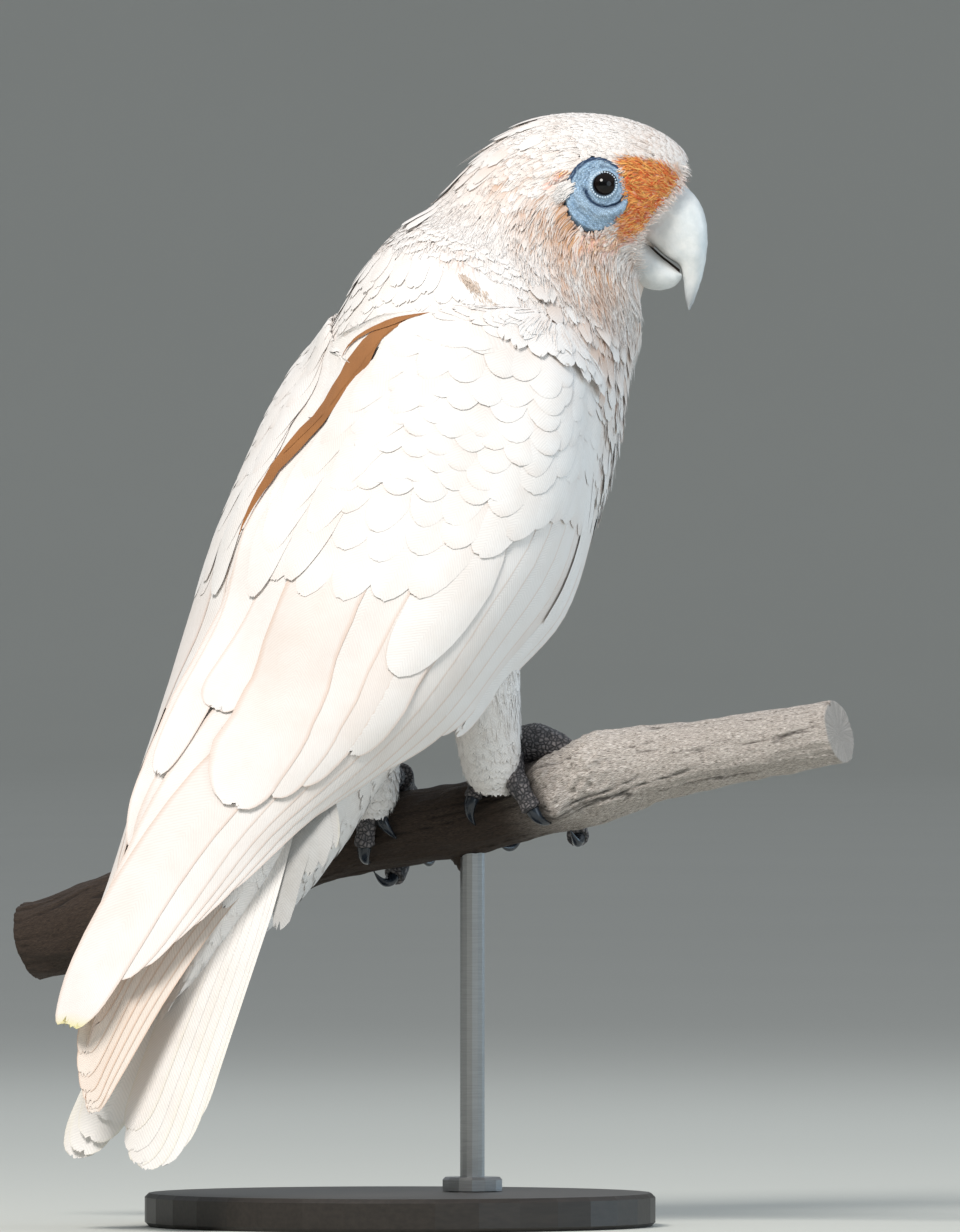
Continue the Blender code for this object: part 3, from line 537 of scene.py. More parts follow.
def grown_together(thing, voxel, smoothing=0, factor=0.5):
    """Melts overlapping closed parts into one even skin."""
    face_out(thing)
    remesh = thing.modifiers.new("one_skin", "REMESH")
    remesh.mode, remesh.voxel_size, remesh.use_smooth_shade = "VOXEL", voxel * MM, True
    if smoothing:
        ease = thing.modifiers.new("ease", "SMOOTH")
        ease.iterations, ease.factor = smoothing, factor
    graph = bpy.context.evaluated_depsgraph_get()
    mesh = bpy.data.meshes.new_from_object(thing.evaluated_get(graph))
    thing.modifiers.clear()
    thing.data = mesh
    return thing


def mesh_points(thing):
    """A mesh object's points, in millimetres."""
    points = np.empty(len(thing.data.vertices) * 3, np.float32)
    thing.data.vertices.foreach_get("co", points)
    return points.reshape(-1, 3).astype(float) / MM


def mesh_normals(thing):
    """The way out at each point of a mesh object."""
    normals = np.empty(len(thing.data.vertices) * 3, np.float32)
    thing.data.vertices.foreach_get("normal", normals)
    return normals.reshape(-1, 3).astype(float)


def move_points(thing, points):
    """Puts a mesh object's points at new places, in millimetres."""
    thing.data.vertices.foreach_set("co", (points * MM).astype(np.float32).ravel())
    thing.data.update()


# ---------------------------------------------------------------- materials


def colour(hex_value, alpha=1.0):
    """A linear colour from its sRGB hex value."""
    parts = [int(hex_value[i:i + 2], 16) / 255.0 for i in (0, 2, 4)]
    linear = [p / 12.92 if p <= 0.04045 else ((p + 0.055) / 1.055) ** 2.4 for p in parts]
    return (*linear, alpha)


def add(tree, kind, settings=None, links=None):
    """Adds a node, whose kind is its type without the name of its tree.  Settings name its
    options, its inputs or a ramp's stops, and links say what feeds an input.
    """
    made = tree.nodes.new(tree.bl_idname.removesuffix("Tree") + kind)
    for key, value in (settings or {}).items():
        if key == "stops":
            ends = made.color_ramp.elements
            ends[0].position, ends[0].color = value[0][0], colour(value[0][1])
            ends[1].position, ends[1].color = value[-1][0], colour(value[-1][1])
            for place, tone in value[1:-1]:
                ends.new(place).color = colour(tone)
        elif isinstance(key, str) and hasattr(made, key):
            setattr(made, key, value)
        else:
            made.inputs[key].default_value = value
    for key, source in (links or {}).items():
        tree.links.new(source if isinstance(source, bpy.types.NodeSocket) else source.outputs[0],
                       made.inputs[key])
    return made


def new_look(name, **settings):
    """A material with a bare principled shader, and its tree."""
    look = bpy.data.materials.new(name)
    look.use_nodes = True
    shader = look.node_tree.nodes["Principled BSDF"]
    for key, value in settings.items():
        socket = key if key == "IOR" else key.title()
        shader.inputs[socket].default_value = value
    return look, look.node_tree, shader


def painted_marks(tree):
    """The node that reads a piece's marks, and the three marks in its colour."""
    marks = add(tree, "Attribute", {"attribute_name": "marks"})
    return marks, add(tree, "SeparateColor", links={0: marks.outputs["Color"]}).outputs


def finished(look, tree, shader, body, height=None, strength=0.0, distance=0.0):
    """Joins a look's colour, and its fine relief if it has one, to its shader."""
    tree.links.new(body.outputs[0], shader.inputs["Base Color"])
    if height is not None:
        bump = add(tree, "Bump", {"Strength": strength, "Distance": distance}, {"Height": height})
        tree.links.new(bump.outputs[0], shader.inputs["Normal"])
    return look


def mottled(name, low, high, scale, detail=2.0, stretch=None, strength=None, distance=0.0,
            **settings):
    """A look of two tones in one soft pattern, which also gives it its fine relief."""
    look, tree, shader = new_look(name, **settings)
    place = add(tree, "TexCoord").outputs["Object"]
    if stretch:
        place = add(tree, "Mapping", {"Scale": stretch}, {"Vector": place})
    tone = add(tree, "TexNoise", {"Scale": scale, "Detail": detail}, {"Vector": place})
    body = add(tree, "MixRGB", {"Color1": colour(low), "Color2": colour(high)}, {"Fac": tone})
    height = tone if strength else None
    return finished(look, tree, shader, body, height, strength, distance)


def plumage(name, white="F6F2EF", shade="EAE0D8", barb=1.1, relief=0.3, rough=0.8):
    """Corella feather: keratin vanes, matt and almost white, warm where the base shows.

    Barbs run out from the shaft at a slant, which gives the eye fine slanting lines.  They
    are 0.3 mm apart on the bird and drawn coarser here, so that they can be seen.
    """
    look, tree, shader = new_look(name, roughness=rough, IOR=1.54)
    shader.inputs["Sheen Weight"].default_value = 0.15
    shader.inputs["Sheen Roughness"].default_value = 0.5
    marks, (stain_and_shade, blush, gold) = painted_marks(tree)
    place = add(tree, "TexCoord").outputs["Object"]
    cloud = add(tree, "TexNoise", {"Scale": 60.0, "Detail": 3.0, "Roughness": 0.6}, {"Vector": place})
    tone = add(tree, "ValToRGB", {"stops": ((0.36, shade), (0.62, white))}, {"Fac": cloud})
    pale = add(tree, "MixRGB", {"Fac": 0.35, "Color1": colour(white)}, {"Color2": tone})
    vane = add(tree, "UVMap", {"uv_map": "vane"})
    across = add(tree, "SeparateXYZ", links={0: vane})
    out = add(tree, "Math", {"operation": "ABSOLUTE"}, {0: across.outputs["X"]})
    slant = add(tree, "Math", {"operation": "MULTIPLY", 1: -0.95}, {0: out})
    barbs = add(tree, "Math", {"operation": "ADD"}, {0: slant, 1: across.outputs["Y"]})
    run = add(tree, "CombineXYZ", links={"X": barbs, "Y": out})
    lines = add(tree, "TexWave",
                {"Scale": 31.4 / barb, "Distortion": 2.2, "Detail": 2.0, "Detail Scale": 1.4},
                {"Vector": run})
    # The first mark warms the white: stains, and in some coats painted shade (the neck fold, the gap down
    # the back, the margins of long feathers and primaries).
    warm = add(tree, "MixRGB", {"Color2": colour("CD9B74")}, {"Fac": stain_and_shade, "Color1": pale})
    flame = add(tree, "TexNoise", {"Scale": 420.0, "Detail": 2.0}, {"Vector": place})
    strands = add(tree, "MixRGB", {"Fac": 0.85},
                  {"Color1": flame.outputs["Color"], "Color2": marks.outputs["Alpha"]})
    fire = add(tree, "MixRGB", {"Color1": colour("E04200"), "Color2": colour("FFCB6C")},
               {"Fac": strands})
    red = add(tree, "MixRGB", links={"Fac": blush, "Color1": warm, "Color2": fire})
    straw = add(tree, "MixRGB", {"Color2": colour("E6DC9A")}, {"Fac": gold, "Color1": red})
    streak = add(tree, "MixRGB", {"blend_type": "MULTIPLY", "Fac": 0.07},
                 {"Color1": straw, "Color2": lines.outputs["Color"]})
    return finished(look, tree, shader, streak, lines.outputs["Fac"], relief, 0.0002)


def skin_look():
    """Skin under the coat: matt and pinkish, where it may show between feather bases."""
    look, tree, shader = new_look("skin_under_feathers", roughness=0.7, IOR=1.4)
    _, parts = painted_marks(tree)
    place = add(tree, "TexCoord").outputs["Object"]
    down = add(tree, "TexNoise", {"Scale": 260.0, "Detail": 4.0}, {"Vector": place})
    pale = add(tree, "MixRGB", {"Color1": colour("E6DAD0"), "Color2": colour("F4ECE6")}, {"Fac": down})
    # The first mark warms the skin with the face's stains and, along the gap between the wings, painted
    # shade; the second adds the flush and a painted warm glow there.
    warm = add(tree, "MixRGB", {"Color2": colour("A07C66")}, {"Fac": parts[0], "Color1": pale})
    red = add(tree, "MixRGB", {"Color2": colour("D2622A")}, {"Fac": parts[1], "Color1": warm})
    return finished(look, tree, shader, red, down, 0.6, 0.0006)


def bare_skin_look():
    """Bare skin round the eye: blue grey, dry and finely creased, with painted shade in its creases, fold
    and rims and painted highlights on its ridges.
    """
    look, tree, shader = new_look("bare_blue_skin", roughness=0.62, IOR=1.4)
    _, parts = painted_marks(tree)
    place = add(tree, "TexCoord").outputs["Object"]
    cells = add(tree, "TexVoronoi", {"feature": "DISTANCE_TO_EDGE", "Scale": 1300.0}, {"Vector": place})
    crease = add(tree, "MapRange", {"From Max": 0.22, "To Min": 0.0, "To Max": 1.0}, {"Value": cells})
    cloud = add(tree, "TexNoise", {"Scale": 300.0, "Detail": 3.0}, {"Vector": place})
    blue = add(tree, "MixRGB", {"Color1": colour("86AED4"), "Color2": colour("C6DEF0")}, {"Fac": cloud})
    # Painted shade in the fold under the eye, the creases and the rims.
    fold = add(tree, "MixRGB", {"Color1": colour("2C4668")}, {"Fac": parts[0], "Color2": blue})
    # Painted highlights on the ridges, the beads and the lid.
    high = add(tree, "MixRGB", {"Color2": colour("C6DCEE")}, {"Fac": parts[1], "Color1": fold})
    lid = add(tree, "MixRGB", {"Color2": colour("26303A")}, {"Fac": parts[2], "Color1": high})
    # Painted shade in the fine creases of the skin.
    lines = add(tree, "MixRGB", {"blend_type": "MULTIPLY", "Fac": 0.42},
                {"Color1": lid, "Color2": crease})
    return finished(look, tree, shader, lines, crease, 0.5, 0.00025)


def bead_look():
    """Beads of the lid's edge: the same dry skin, paler where it is stretched."""
    return mottled("lid_bead_skin", "A9C8E0", "F0F7FC", 700.0, roughness=0.5, IOR=1.4)


def horn_look():
    """Bill horn: grown keratin, satin, off white with grey streaks and faint flaking."""
    look, tree, shader = new_look("bill_keratin", roughness=0.42, IOR=1.54)
    _, parts = painted_marks(tree)
    place = add(tree, "TexCoord").outputs["Object"]
    cloud = add(tree, "TexNoise", {"Scale": 120.0, "Detail": 4.0, "Roughness": 0.6}, {"Vector": place})
    fine = add(tree, "TexNoise", {"Scale": 700.0, "Detail": 3.0}, {"Vector": place})
    body = add(tree, "ValToRGB", {"stops": ((0.3, "E0E5E6"), (0.68, "FBFBF8"))}, {"Fac": cloud})
    tip = add(tree, "MixRGB", {"Color2": colour("8B9298")}, {"Fac": parts[0], "Color1": body})
    # Painted shade along the gape, where one half of the bill lies under the other.
    edge = add(tree, "MixRGB", {"Color2": colour("6E6252")}, {"Fac": parts[1], "Color1": tip})
    flakes = add(tree, "MixRGB", {"blend_type": "MULTIPLY", "Fac": 0.08},
                 {"Color1": edge, "Color2": fine})
    return finished(look, tree, shader, flakes, fine, 0.35, 0.0003)


def mouth_look():
    """Lining of the mouth, moist and almost black in the closed gape."""
    return mottled("mouth_lining", "14100E", "3A2A22", 400.0, roughness=0.5, IOR=1.4)


def eye_look():
    """Eyeball: wet and glassy, a dark brown iris that is hard to tell from its pupil."""
    look, tree, shader = new_look("eye_wet_dark_brown", roughness=0.04, IOR=1.38)
    shader.inputs["Specular IOR Level"].default_value = 0.12
    shader.inputs["Coat Weight"].default_value = 0.5
    shader.inputs["Coat Roughness"].default_value = 0.02
    _, parts = painted_marks(tree)
    place = add(tree, "TexCoord").outputs["Object"]
    rays = add(tree, "TexNoise", {"Scale": 900.0, "Detail": 3.0}, {"Vector": place})
    iris = add(tree, "MixRGB", {"Color1": colour("070404"), "Color2": colour("180E09")}, {"Fac": rays})
    pupil = add(tree, "MixRGB", {"Color2": colour("030304")}, {"Fac": parts[0], "Color1": iris})
    return finished(look, tree, shader, pupil)


def scale_look():
    """Skin of the feet: small horny scales, dark blue grey with paler dusty edges."""
    look, tree, shader = new_look("foot_scales_horny", roughness=0.6, IOR=1.5)
    place = add(tree, "TexCoord").outputs["Object"]
    cells = add(tree, "TexVoronoi", {"feature": "DISTANCE_TO_EDGE", "Scale": 620.0}, {"Vector": place})
    groove = add(tree, "MapRange", {"From Max": 0.3}, {"Value": cells})
    tone = add(tree, "TexNoise", {"Scale": 160.0, "Detail": 3.0}, {"Vector": place})
    body = add(tree, "MixRGB", {"Color1": colour("42444B"), "Color2": colour("9A918F")}, {"Fac": tone})
    lines = add(tree, "MixRGB", {"Color1": colour("1D1E22")}, {"Fac": groove, "Color2": body})
    return finished(look, tree, shader, lines, groove, 0.8, 0.0005)


def claw_look():
    """Claw horn: dark slate keratin, polished by use, lighter along its back."""
    return mottled("claw_keratin", "0C0E12", "2C3540", 220.0, 3.0, strength=0.2, distance=0.0002,
                   roughness=0.2, IOR=1.54)


def bark_look():
    """Dead gum branch: barkless wood silvered by sun, with dark drying cracks along it, and a painted
    shadow of the bird that darkens it from under the bird to one end.

    Cracks are some 2 mm apart round the branch and 10 to 30 mm long, so their pattern is
    read along the branch ten times slower than around it.
    """
    look, tree, shader = new_look("weathered_gum_wood", roughness=0.85, IOR=1.5)
    grain = add(tree, "UVMap", {"uv_map": "grain"})
    _, parts = painted_marks(tree)
    stretch = add(tree, "Mapping", {"Scale": (12.0, 1.0, 1.0)}, {"Vector": grain})
    fibre = add(tree, "TexNoise", {"Scale": 60.0, "Detail": 6.0, "Roughness": 0.65,
                                             "Distortion": 0.4}, {"Vector": stretch})
    broad = add(tree, "TexNoise", {"Scale": 14.0, "Detail": 3.0}, {"Vector": stretch})
    body = add(tree, "ValToRGB", {"stops": ((0.34, "2C241E"), (0.5, "B8AEA5"), (0.66, "F2EBE6"))},
               {"Fac": fibre})
    # Painted shadow: the second mark darkens the branch from under the bird to its far end.
    brown = add(tree, "MixRGB", {"blend_type": "MULTIPLY", "Color2": colour("51443A")},
                {"Fac": parts[1], "Color1": body})
    patch = add(tree, "MixRGB", {"blend_type": "OVERLAY", "Fac": 0.5},
                {"Color1": brown, "Color2": broad})
    crack = add(tree, "MixRGB", {"Color2": colour("15110E")}, {"Fac": parts[0], "Color1": patch})
    return finished(look, tree, shader, crack, fibre, 0.7, 0.0006)


def base_look():
    """Stand base: turned hardwood, stained black and lacquered satin, with open grain."""
    return mottled("black_stained_wood", "1A1714", "3A332D", 70.0, 5.0, (1.0, 9.0, 9.0), 0.25,
                   0.0002, roughness=0.42, IOR=1.5)


def rod_look():
    """Stand rod: drawn stainless steel, brushed round, with soft wide highlights."""
    return mottled("brushed_stainless_steel", "8E8F90", "B9BABB", 120.0, 3.0, (1.0, 1.0, 25.0),
                   0.15, 0.0001, roughness=0.32, metallic=1.0)


def floor_look():
    """Studio paper: matt, pale grey, a little uneven."""
    return mottled("studio_paper", "C6C7C0", "CACBC4", 1.5, roughness=0.95, IOR=1.5)


# ---------------------------------------------------------------- feathers

# What each kind of feather is like: rows along it and ribs to each side of the shaft,
# where its tip starts to round and how bluntly, how wide its root is, how far the barbs
# slant, how uneven its tip and edges are, how thick it is, and how far its edges fall
# and its tip bends down.
FORMS = {
    "barb": dict(rows=4, ribs=1, shoulder=0.25, blunt=1.5, root=0.7, slant=0.0, fray=0.0,
                 ripple=0.1, thick=0.12, camber=0.10, ridge=0.05, dip=0.0),
    "down": dict(rows=6, ribs=2, shoulder=0.35, blunt=1.8, root=0.5, slant=0.4, fray=0.09,
                 ripple=0.12, thick=0.06, camber=0.04, ridge=0.0, dip=0.0),
    "wisp": dict(rows=6, ribs=2, shoulder=0.2, blunt=1.3, root=0.6, slant=0.3, fray=0.12,
                 ripple=0.12, thick=0.06, camber=0.06, ridge=0.0, dip=0.0),
    "contour": dict(rows=8, ribs=3, shoulder=0.4, blunt=2.0, root=0.5, slant=0.45, fray=0.05,
                    ripple=0.06, thick=0.08, camber=0.055, ridge=0.0, dip=0.12),
    "covert": dict(rows=12, ribs=4, shoulder=0.45, blunt=2.1, root=0.5, slant=0.4, fray=0.006,
                   ripple=0.015, thick=0.08, camber=0.045, ridge=0.02, dip=0.34),
    "sliver": dict(rows=22, ribs=3, shoulder=0.30, blunt=1.08, root=0.10, slant=0.1, fray=0.004,
                   ripple=0.05, thick=0.15, camber=0.02, ridge=0.05, dip=0.0),
    "tail": dict(rows=24, ribs=5, shoulder=0.87, blunt=2.5, root=0.6, slant=0.10, fray=0.006,
                 ripple=0.003, thick=0.12, camber=0.005, ridge=0.03, dip=0.05),
    "flight": dict(rows=26, ribs=5, shoulder=0.74, blunt=2.1, root=0.6, slant=0.12, fray=0.010,
                   ripple=0.004, thick=0.20, camber=0.006, ridge=0.06, dip=0.05),
}


def sheet_moves(ahead, lateral, su, sv):
    """How far a sheet's two numbers move for a millimetre ahead, and for one sideways."""
    e, f, g = (su * su).sum(-1), (su * sv).sum(-1), (sv * sv).sum(-1)
    det = np.maximum(e * g - f * f, 1e-3)
    moves = []
    for way in (ahead, lateral):
        p, q = (way * su).sum(-1), (way * sv).sum(-1)
        moves += [(g * p - f * q) / det, (e * q - f * p) / det]
    return moves


def march(sheet, u, v, turn, bend, length, x):
    """Centre lines that set out from their roots and follow the lie of the sheet."""
    here_u, here_v, lines = u.copy(), v.copy(), []
    for i, place in enumerate(x):
        _, normal, su, sv = sheet.at(here_u, here_v)
        down = unit(su) * sheet.run
        a = (turn + bend * place)[:, None]
        ahead = down * np.cos(a) + np.cross(normal, down) * np.sin(a)
        lateral = np.cross(normal, ahead)
        moves = sheet_moves(ahead, lateral, su, sv)
        lines.append([here_u.copy(), here_v.copy(), *moves])
        if i < len(x) - 1:
            step = (x[i + 1] - place) * length
            here_u = here_u + moves[0] * step
            here_v = here_v + moves[1] * step
    return np.array(lines).transpose(2, 0, 1)


def trace(sheet, u, v, x):
    """Centre lines given as places on the sheet, read at x along each of them."""
    share = np.linspace(0, 1, u.shape[1])
    here_u = np.array([np.interp(x, share, row) for row in u])
    here_v = np.array([np.interp(x, share, row) for row in v])
    point, normal, su, sv = sheet.at(here_u, here_v)
    ahead = unit(np.gradient(point, axis=1))
    ahead = unit(ahead - normal * (ahead * normal).sum(-1, keepdims=True))
    lateral = np.cross(normal, ahead)
    moves = sheet_moves(ahead, lateral, su, sv)
    lengths = np.linalg.norm(np.diff(point, axis=1), axis=2).sum(1)
    return np.stack((here_u, here_v, *moves), axis=2), lengths


def vanes(sheet, lines, length, width, form, rng, base, tip, tilt, unwrap, marking):
    """Closed, thin feathers along centre lines.  Heights are in millimetres off the sheet."""
    count = len(length)
    length, width, base, tip, tilt = (
        np.broadcast_to(np.asarray(n, float), (count,))[:, None, None]
        for n in (length, width, base, tip, tilt)
    )
    rows, ribs = form["rows"], form["ribs"]
    x = station_places(form)
    c = np.linspace(-1, 1, 2 * ribs + 1)[None, None]
    c = np.sign(c) * np.abs(c) ** 0.7
    x_rows = x[None, :, None]
    place = x_rows + form["slant"] * np.abs(c) * x_rows * (1 - x_rows)
    edge = x_rows + form["slant"] * x_rows * (1 - x_rows)
    rise = np.minimum(1.0, form["root"] + (1 - form["root"]) * edge / 0.35)
    past = np.clip((edge - form["shoulder"]) / (1.0 - form["shoulder"]), 0, 0.985)
    half = width / 2 * rise * (1 - past ** form["blunt"]) ** (1 / form["blunt"])
    uneven = rng.normal(size=(count, rows, 2))
    uneven = np.where(c < 0, uneven[..., :1], uneven[..., 1:])
    y = c * half * (1 + form["ripple"] * uneven * c * c)
    late = np.zeros((1, rows, 1))
    late[0, -1, 0], late[0, -2, 0] = 1.0, 0.45
    place = place - form["fray"] * late * np.abs(rng.normal(size=(count, 1, 2 * ribs + 1)))
    shift = (place - x_rows) * length
    u = lines[..., 0, None] + lines[..., 2, None] * shift + lines[..., 4, None] * y
    v = lines[..., 1, None] + lines[..., 3, None] * shift + lines[..., 5, None] * y
    point, normal, _, _ = sheet.at(u, v)
    height = base + (tip - base) * np.clip(place, 0, 1) ** 1.25 + tilt * y \
        - form["camber"] * np.abs(y) * np.abs(c) + form["ridge"] * (np.abs(c) < 0.01) \
        - form["dip"] * np.clip((place - 0.7) / 0.3, 0, 1) ** 2
    top = point + normal * height[..., None]
    thick = form["thick"] * (1 - 0.6 * x_rows[:, 1:-1])[..., None]
    under = top[:, 1:-1, 1:-1] - normal[:, 1:-1, 1:-1] * thick
    columns = 2 * ribs + 1
    each = rows * columns + (rows - 2) * (columns - 2)
    points = np.concatenate((top.reshape(count, -1, 3), under.reshape(count, -1, 3)), axis=1)
    upper = np.arange(rows * columns).reshape(rows, columns)
    lower = upper.copy()
    lower[1:-1, 1:-1] = rows * columns + np.arange((rows - 2) * (columns - 2)).reshape(
        rows - 2, columns - 2)
    net = np.stack((upper[:-1, :-1], upper[1:, :-1], upper[1:, 1:], upper[:-1, 1:]), -1)
    back = np.stack((lower[:-1, :-1], lower[:-1, 1:], lower[1:, 1:], lower[1:, :-1]), -1)
    faces = np.concatenate((net.reshape(-1, 4), back.reshape(-1, 4)))
    faces = (faces[None] + (np.arange(count) * each)[:, None, None]).reshape(-1, 4)

    def both(values):
        values = np.broadcast_to(values, (count, rows, columns))
        return np.concatenate((values.reshape(count, -1),
                               values[:, 1:-1, 1:-1].reshape(count, -1)), axis=1)

    vane = np.stack((both(y) / 100.0, both(place * length) / 100.0), -1)
    first, second = unwrap(lines[:, 0, 0], lines[:, 0, 1])
    roots = np.stack((first[:, None] + 0 * both(c), second[:, None] + 0 * both(c)), -1)
    patch = np.stack((both(c), 2 * both(np.clip(place, 0, 1)) - 1), -1)
    marks = marking(points[:, :1], both(np.clip(place, 0, 1)), both(np.abs(c)),
                    rng.random((count, 1)))
    return dict(points=points.reshape(-1, 3), faces=faces, vane=vane.reshape(-1, 2),
                roots=roots.reshape(-1, 2), patch=patch.reshape(-1, 2), marks=marks.reshape(-1, 4))


def station_places(form):
    """How far along a feather of this kind its rows of points lie."""
    t = np.linspace(0, 1, form["rows"])
    return 1 - (1 - t) ** 1.45


def lay(sheet, u, v, length, width, kind, rng, base, tip, turn=0.0, bend=0.0, tilt=0.0,
        unwrap=None, marking=None):
    """Feathers of one kind that follow the lie of a sheet from their roots."""
    form = FORMS[kind]
    count = len(u)
    length, turn, bend = (np.broadcast_to(np.asarray(n, float), (count,))
                          for n in (length, turn, bend))
    lines = march(sheet, u, v, turn, bend, length, station_places(form))
    return vanes(sheet, lines, length, width, form, rng, base, tip, tilt,
                 unwrap or unwrap_of(sheet), marking or plain_marks)


def tufted(sheet, u, v, length, width, each, rng, base, tip, turn=0.0, spread=0.10, gather=0.7,
           hair=0.5, marking=None):
    """Tufts of fine barbs: `each` barbs to a tuft, which draw together towards its tip."""
    count = len(u)
    length, width, base, tip, turn = (np.broadcast_to(np.asarray(n, float), (count,))[:, None]
                                      for n in (length, width, base, tip, turn))
    aside = rng.uniform(-0.5, 0.5, (count, each)) * width
    later = rng.uniform(0.0, 0.45, (count, each)) * length
    start = march(sheet, u, v, np.zeros(count), np.zeros(count), np.ones(count), [0.0])[:, 0]
    here_u = u[:, None] + start[:, 2:3] * later + start[:, 4:5] * aside
    here_v = v[:, None] + start[:, 3:4] * later + start[:, 5:6] * aside
    way = turn - gather * aside / length + rng.normal(0, spread, (count, each))
    reach = length * rng.uniform(0.7, 1.05, (count, each)) - 0.5 * later
    crown = 1 - 0.6 * (2 * aside / width) ** 2
    low = base + 0 * aside
    high = base + (tip - base) * crown * rng.uniform(0.7, 1.1, (count, each))
    return lay(sheet, here_u.ravel(), here_v.ravel(), reach.ravel(), hair, "barb", rng,
               low.ravel(), high.ravel(), turn=way.ravel(),
               bend=rng.normal(0, 0.12, here_u.size), marking=marking)


def lay_paths(sheet, paths, width, kind, rng, base, tip, tilt=0.0, marking=None):
    """Feathers of one kind along given lines on a sheet, as (places, places) pairs."""
    form = FORMS[kind]
    u, v = (np.array([p[k] for p in paths], float) for k in (0, 1))
    lines, lengths = trace(sheet, u, v, station_places(form))
    return vanes(sheet, lines, lengths, width, form, rng, base, tip, tilt,
                 unwrap_of(sheet), marking or plain_marks)


def unwrap_of(sheet):
    """Where a place of a sheet falls when the sheet is laid flat."""
    return lambda u, v: (np.mod(v / sheet.high[1], 1.0) if sheet.closed else v / sheet.high[1],
                         u / sheet.high[0])


def coat(name, batches, look, replaced=()):
    """Joins batches of feathers into one piece."""
    start, faces = 0, []
    for batch in batches:
        faces.append(batch["faces"] + start)
        start += len(batch["points"])
    joined = {key: np.concatenate([b[key] for b in batches])
              for key in ("points", "vane", "roots", "patch", "marks")}
    # The part of the unwrap that this piece covers fills its own bake map.
    roots = joined["roots"]
    least, span = roots.min(0), np.maximum(np.ptp(roots, axis=0), 1e-6)
    joined["bake"] = 0.01 + 0.98 * (roots - least) / span
    joined["bake"] = np.clip(joined["bake"], 0.003, 0.997) + 0.0014 * joined["patch"]
    thing = solid(name, joined["points"], np.concatenate(faces), look,
                  {"OFBake": joined["bake"], "vane": joined["vane"]}, joined["marks"], crisp=80.0)
    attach(thing, "root")
    if replaced:
        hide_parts(*replaced)
    return thing


def even(spacing):
    """The same spacing, in millimetres, all over a sheet."""
    return lambda u, v, point: spacing + 0 * u


def spaced(places, spacings):
    """Spacing that changes up a sheet."""
    return lambda u, v, point: np.interp(u, places, spacings)


def anywhere(u, v, point):
    """Keeps every root."""
    return np.ones(len(u), bool)


def scatter(sheet, count, spacing, wanted, rng, low, high):
    """Roots spread evenly over the part of a sheet that `wanted` keeps, `spacing` mm apart."""
    u = rng.uniform(low, high, count)
    v = rng.uniform(0, sheet.high[1], count)
    point, _, su, sv = sheet.at(u, v)
    area = np.linalg.norm(np.cross(su, sv), axis=1)
    keep = (rng.random(count) < area / np.percentile(area, 98)) & wanted(u, v, point)
    u, v, point = u[keep], v[keep], point[keep]
    reach = spacing(u, v, point)
    cell = float(reach.max())
    taken, chosen = {}, []
    for n, (p, r) in enumerate(zip(point, reach)):
        key = tuple((p // cell).astype(int))
        near = (q for dx in (-1, 0, 1) for dy in (-1, 0, 1) for dz in (-1, 0, 1)
                for q in taken.get((key[0] + dx, key[1] + dy, key[2] + dz), ()))
        if not any((p[0] - q[0]) ** 2 + (p[1] - q[1]) ** 2 + (p[2] - q[2]) ** 2 < r * r
                   for q in near):
            taken.setdefault(key, []).append(p)
            chosen.append(n)
    chosen = np.array(chosen, int)
    return u[chosen], v[chosen], point[chosen]


# ---------------------------------------------------------------- markings


def orbit_reach(ahead, up):
    """1 on the rim of the bare eye ring, less inside it, more outside."""
    return np.sqrt(((ahead - ORBIT[0]) / ORBIT_HALF_LENGTH) ** 2
                   + ((up - ORBIT[1]) / ORBIT_HALF_HEIGHT) ** 2)


LORES = ((34.5, 383.5), (41.0, 385.0), (50.0, 381.5), (58.0, 375.5), (52.0, 371.0),
         (45.5, 364.5), (40.0, 357.0), (35.0, 355.5), (33.5, 363.0), (34.8, 373.0))
RIM = ((39.0, 356.5), (31.0, 354.5), (22.5, 354.8), (14.0, 358.5), (9.0, 363.0))


def edge_distance(ahead, up, line, closed=False):
    """How far places of the head lie from a line; negative inside a closed one."""
    line = np.array(line + line[:1] if closed else line)
    best = np.full(np.shape(ahead), 1e9)
    inside = np.zeros(np.shape(ahead), bool)
    for (ax, az), (bx, bz) in zip(line[:-1], line[1:]):
        wx, wz = bx - ax, bz - az
        f = np.clip(((ahead - ax) * wx + (up - az) * wz) / (wx * wx + wz * wz), 0, 1)
        best = np.minimum(best, np.hypot(ahead - ax - f * wx, up - az - f * wz))
        if closed:
            inside ^= ((az > up) != (bz > up)) & (
                ahead < ax + (up - az) * wx / (wz if wz else 1e-9))
    return np.where(inside, -best, best)


def past_bill_edge(ahead, up):
    """How far a place of the face lies past the line where plumage gives way to the bill."""
    line = np.array(((38.0, 332.0), (39.5, 341.0), (38.8, 350.0), (40.0, 357.5), (45.0, 363.5),
                     (50.0, 369.5), (54.5, 375.5), (56.0, 379.5)))
    shape = np.shape(ahead)
    ahead, up = np.ravel(ahead)[:, None], np.ravel(up)[:, None]
    a, w = line[:-1], np.diff(line, axis=0)
    f = np.clip(((ahead - a[:, 0]) * w[:, 0] + (up - a[:, 1]) * w[:, 1])
                / (w ** 2).sum(1), 0, 1)
    dx, dz = ahead - a[:, 0] - f * w[:, 0], up - a[:, 1] - f * w[:, 1]
    far = np.hypot(dx, dz)
    pick = far.argmin(1)
    n = np.arange(len(pick))
    side = np.sign(dx[n, pick] * w[pick, 1] - dz[n, pick] * w[pick, 0])
    return (far[n, pick] * side).reshape(shape)


# Stained places of cheek, throat, breast, brow and forehead: ahead, up, length, height, strength.
STAINS = (
    (10.0, 362.0, 12.0, 9.0, 1.15),
    (24.0, 342.0, 17.0, 15.0, 0.9),
    (30.0, 312.0, 16.0, 26.0, 0.45),
    (-4.0, 379.0, 17.0, 12.0, 0.55),
    (48.0, 388.0, 14.0, 9.0, 0.25),
)


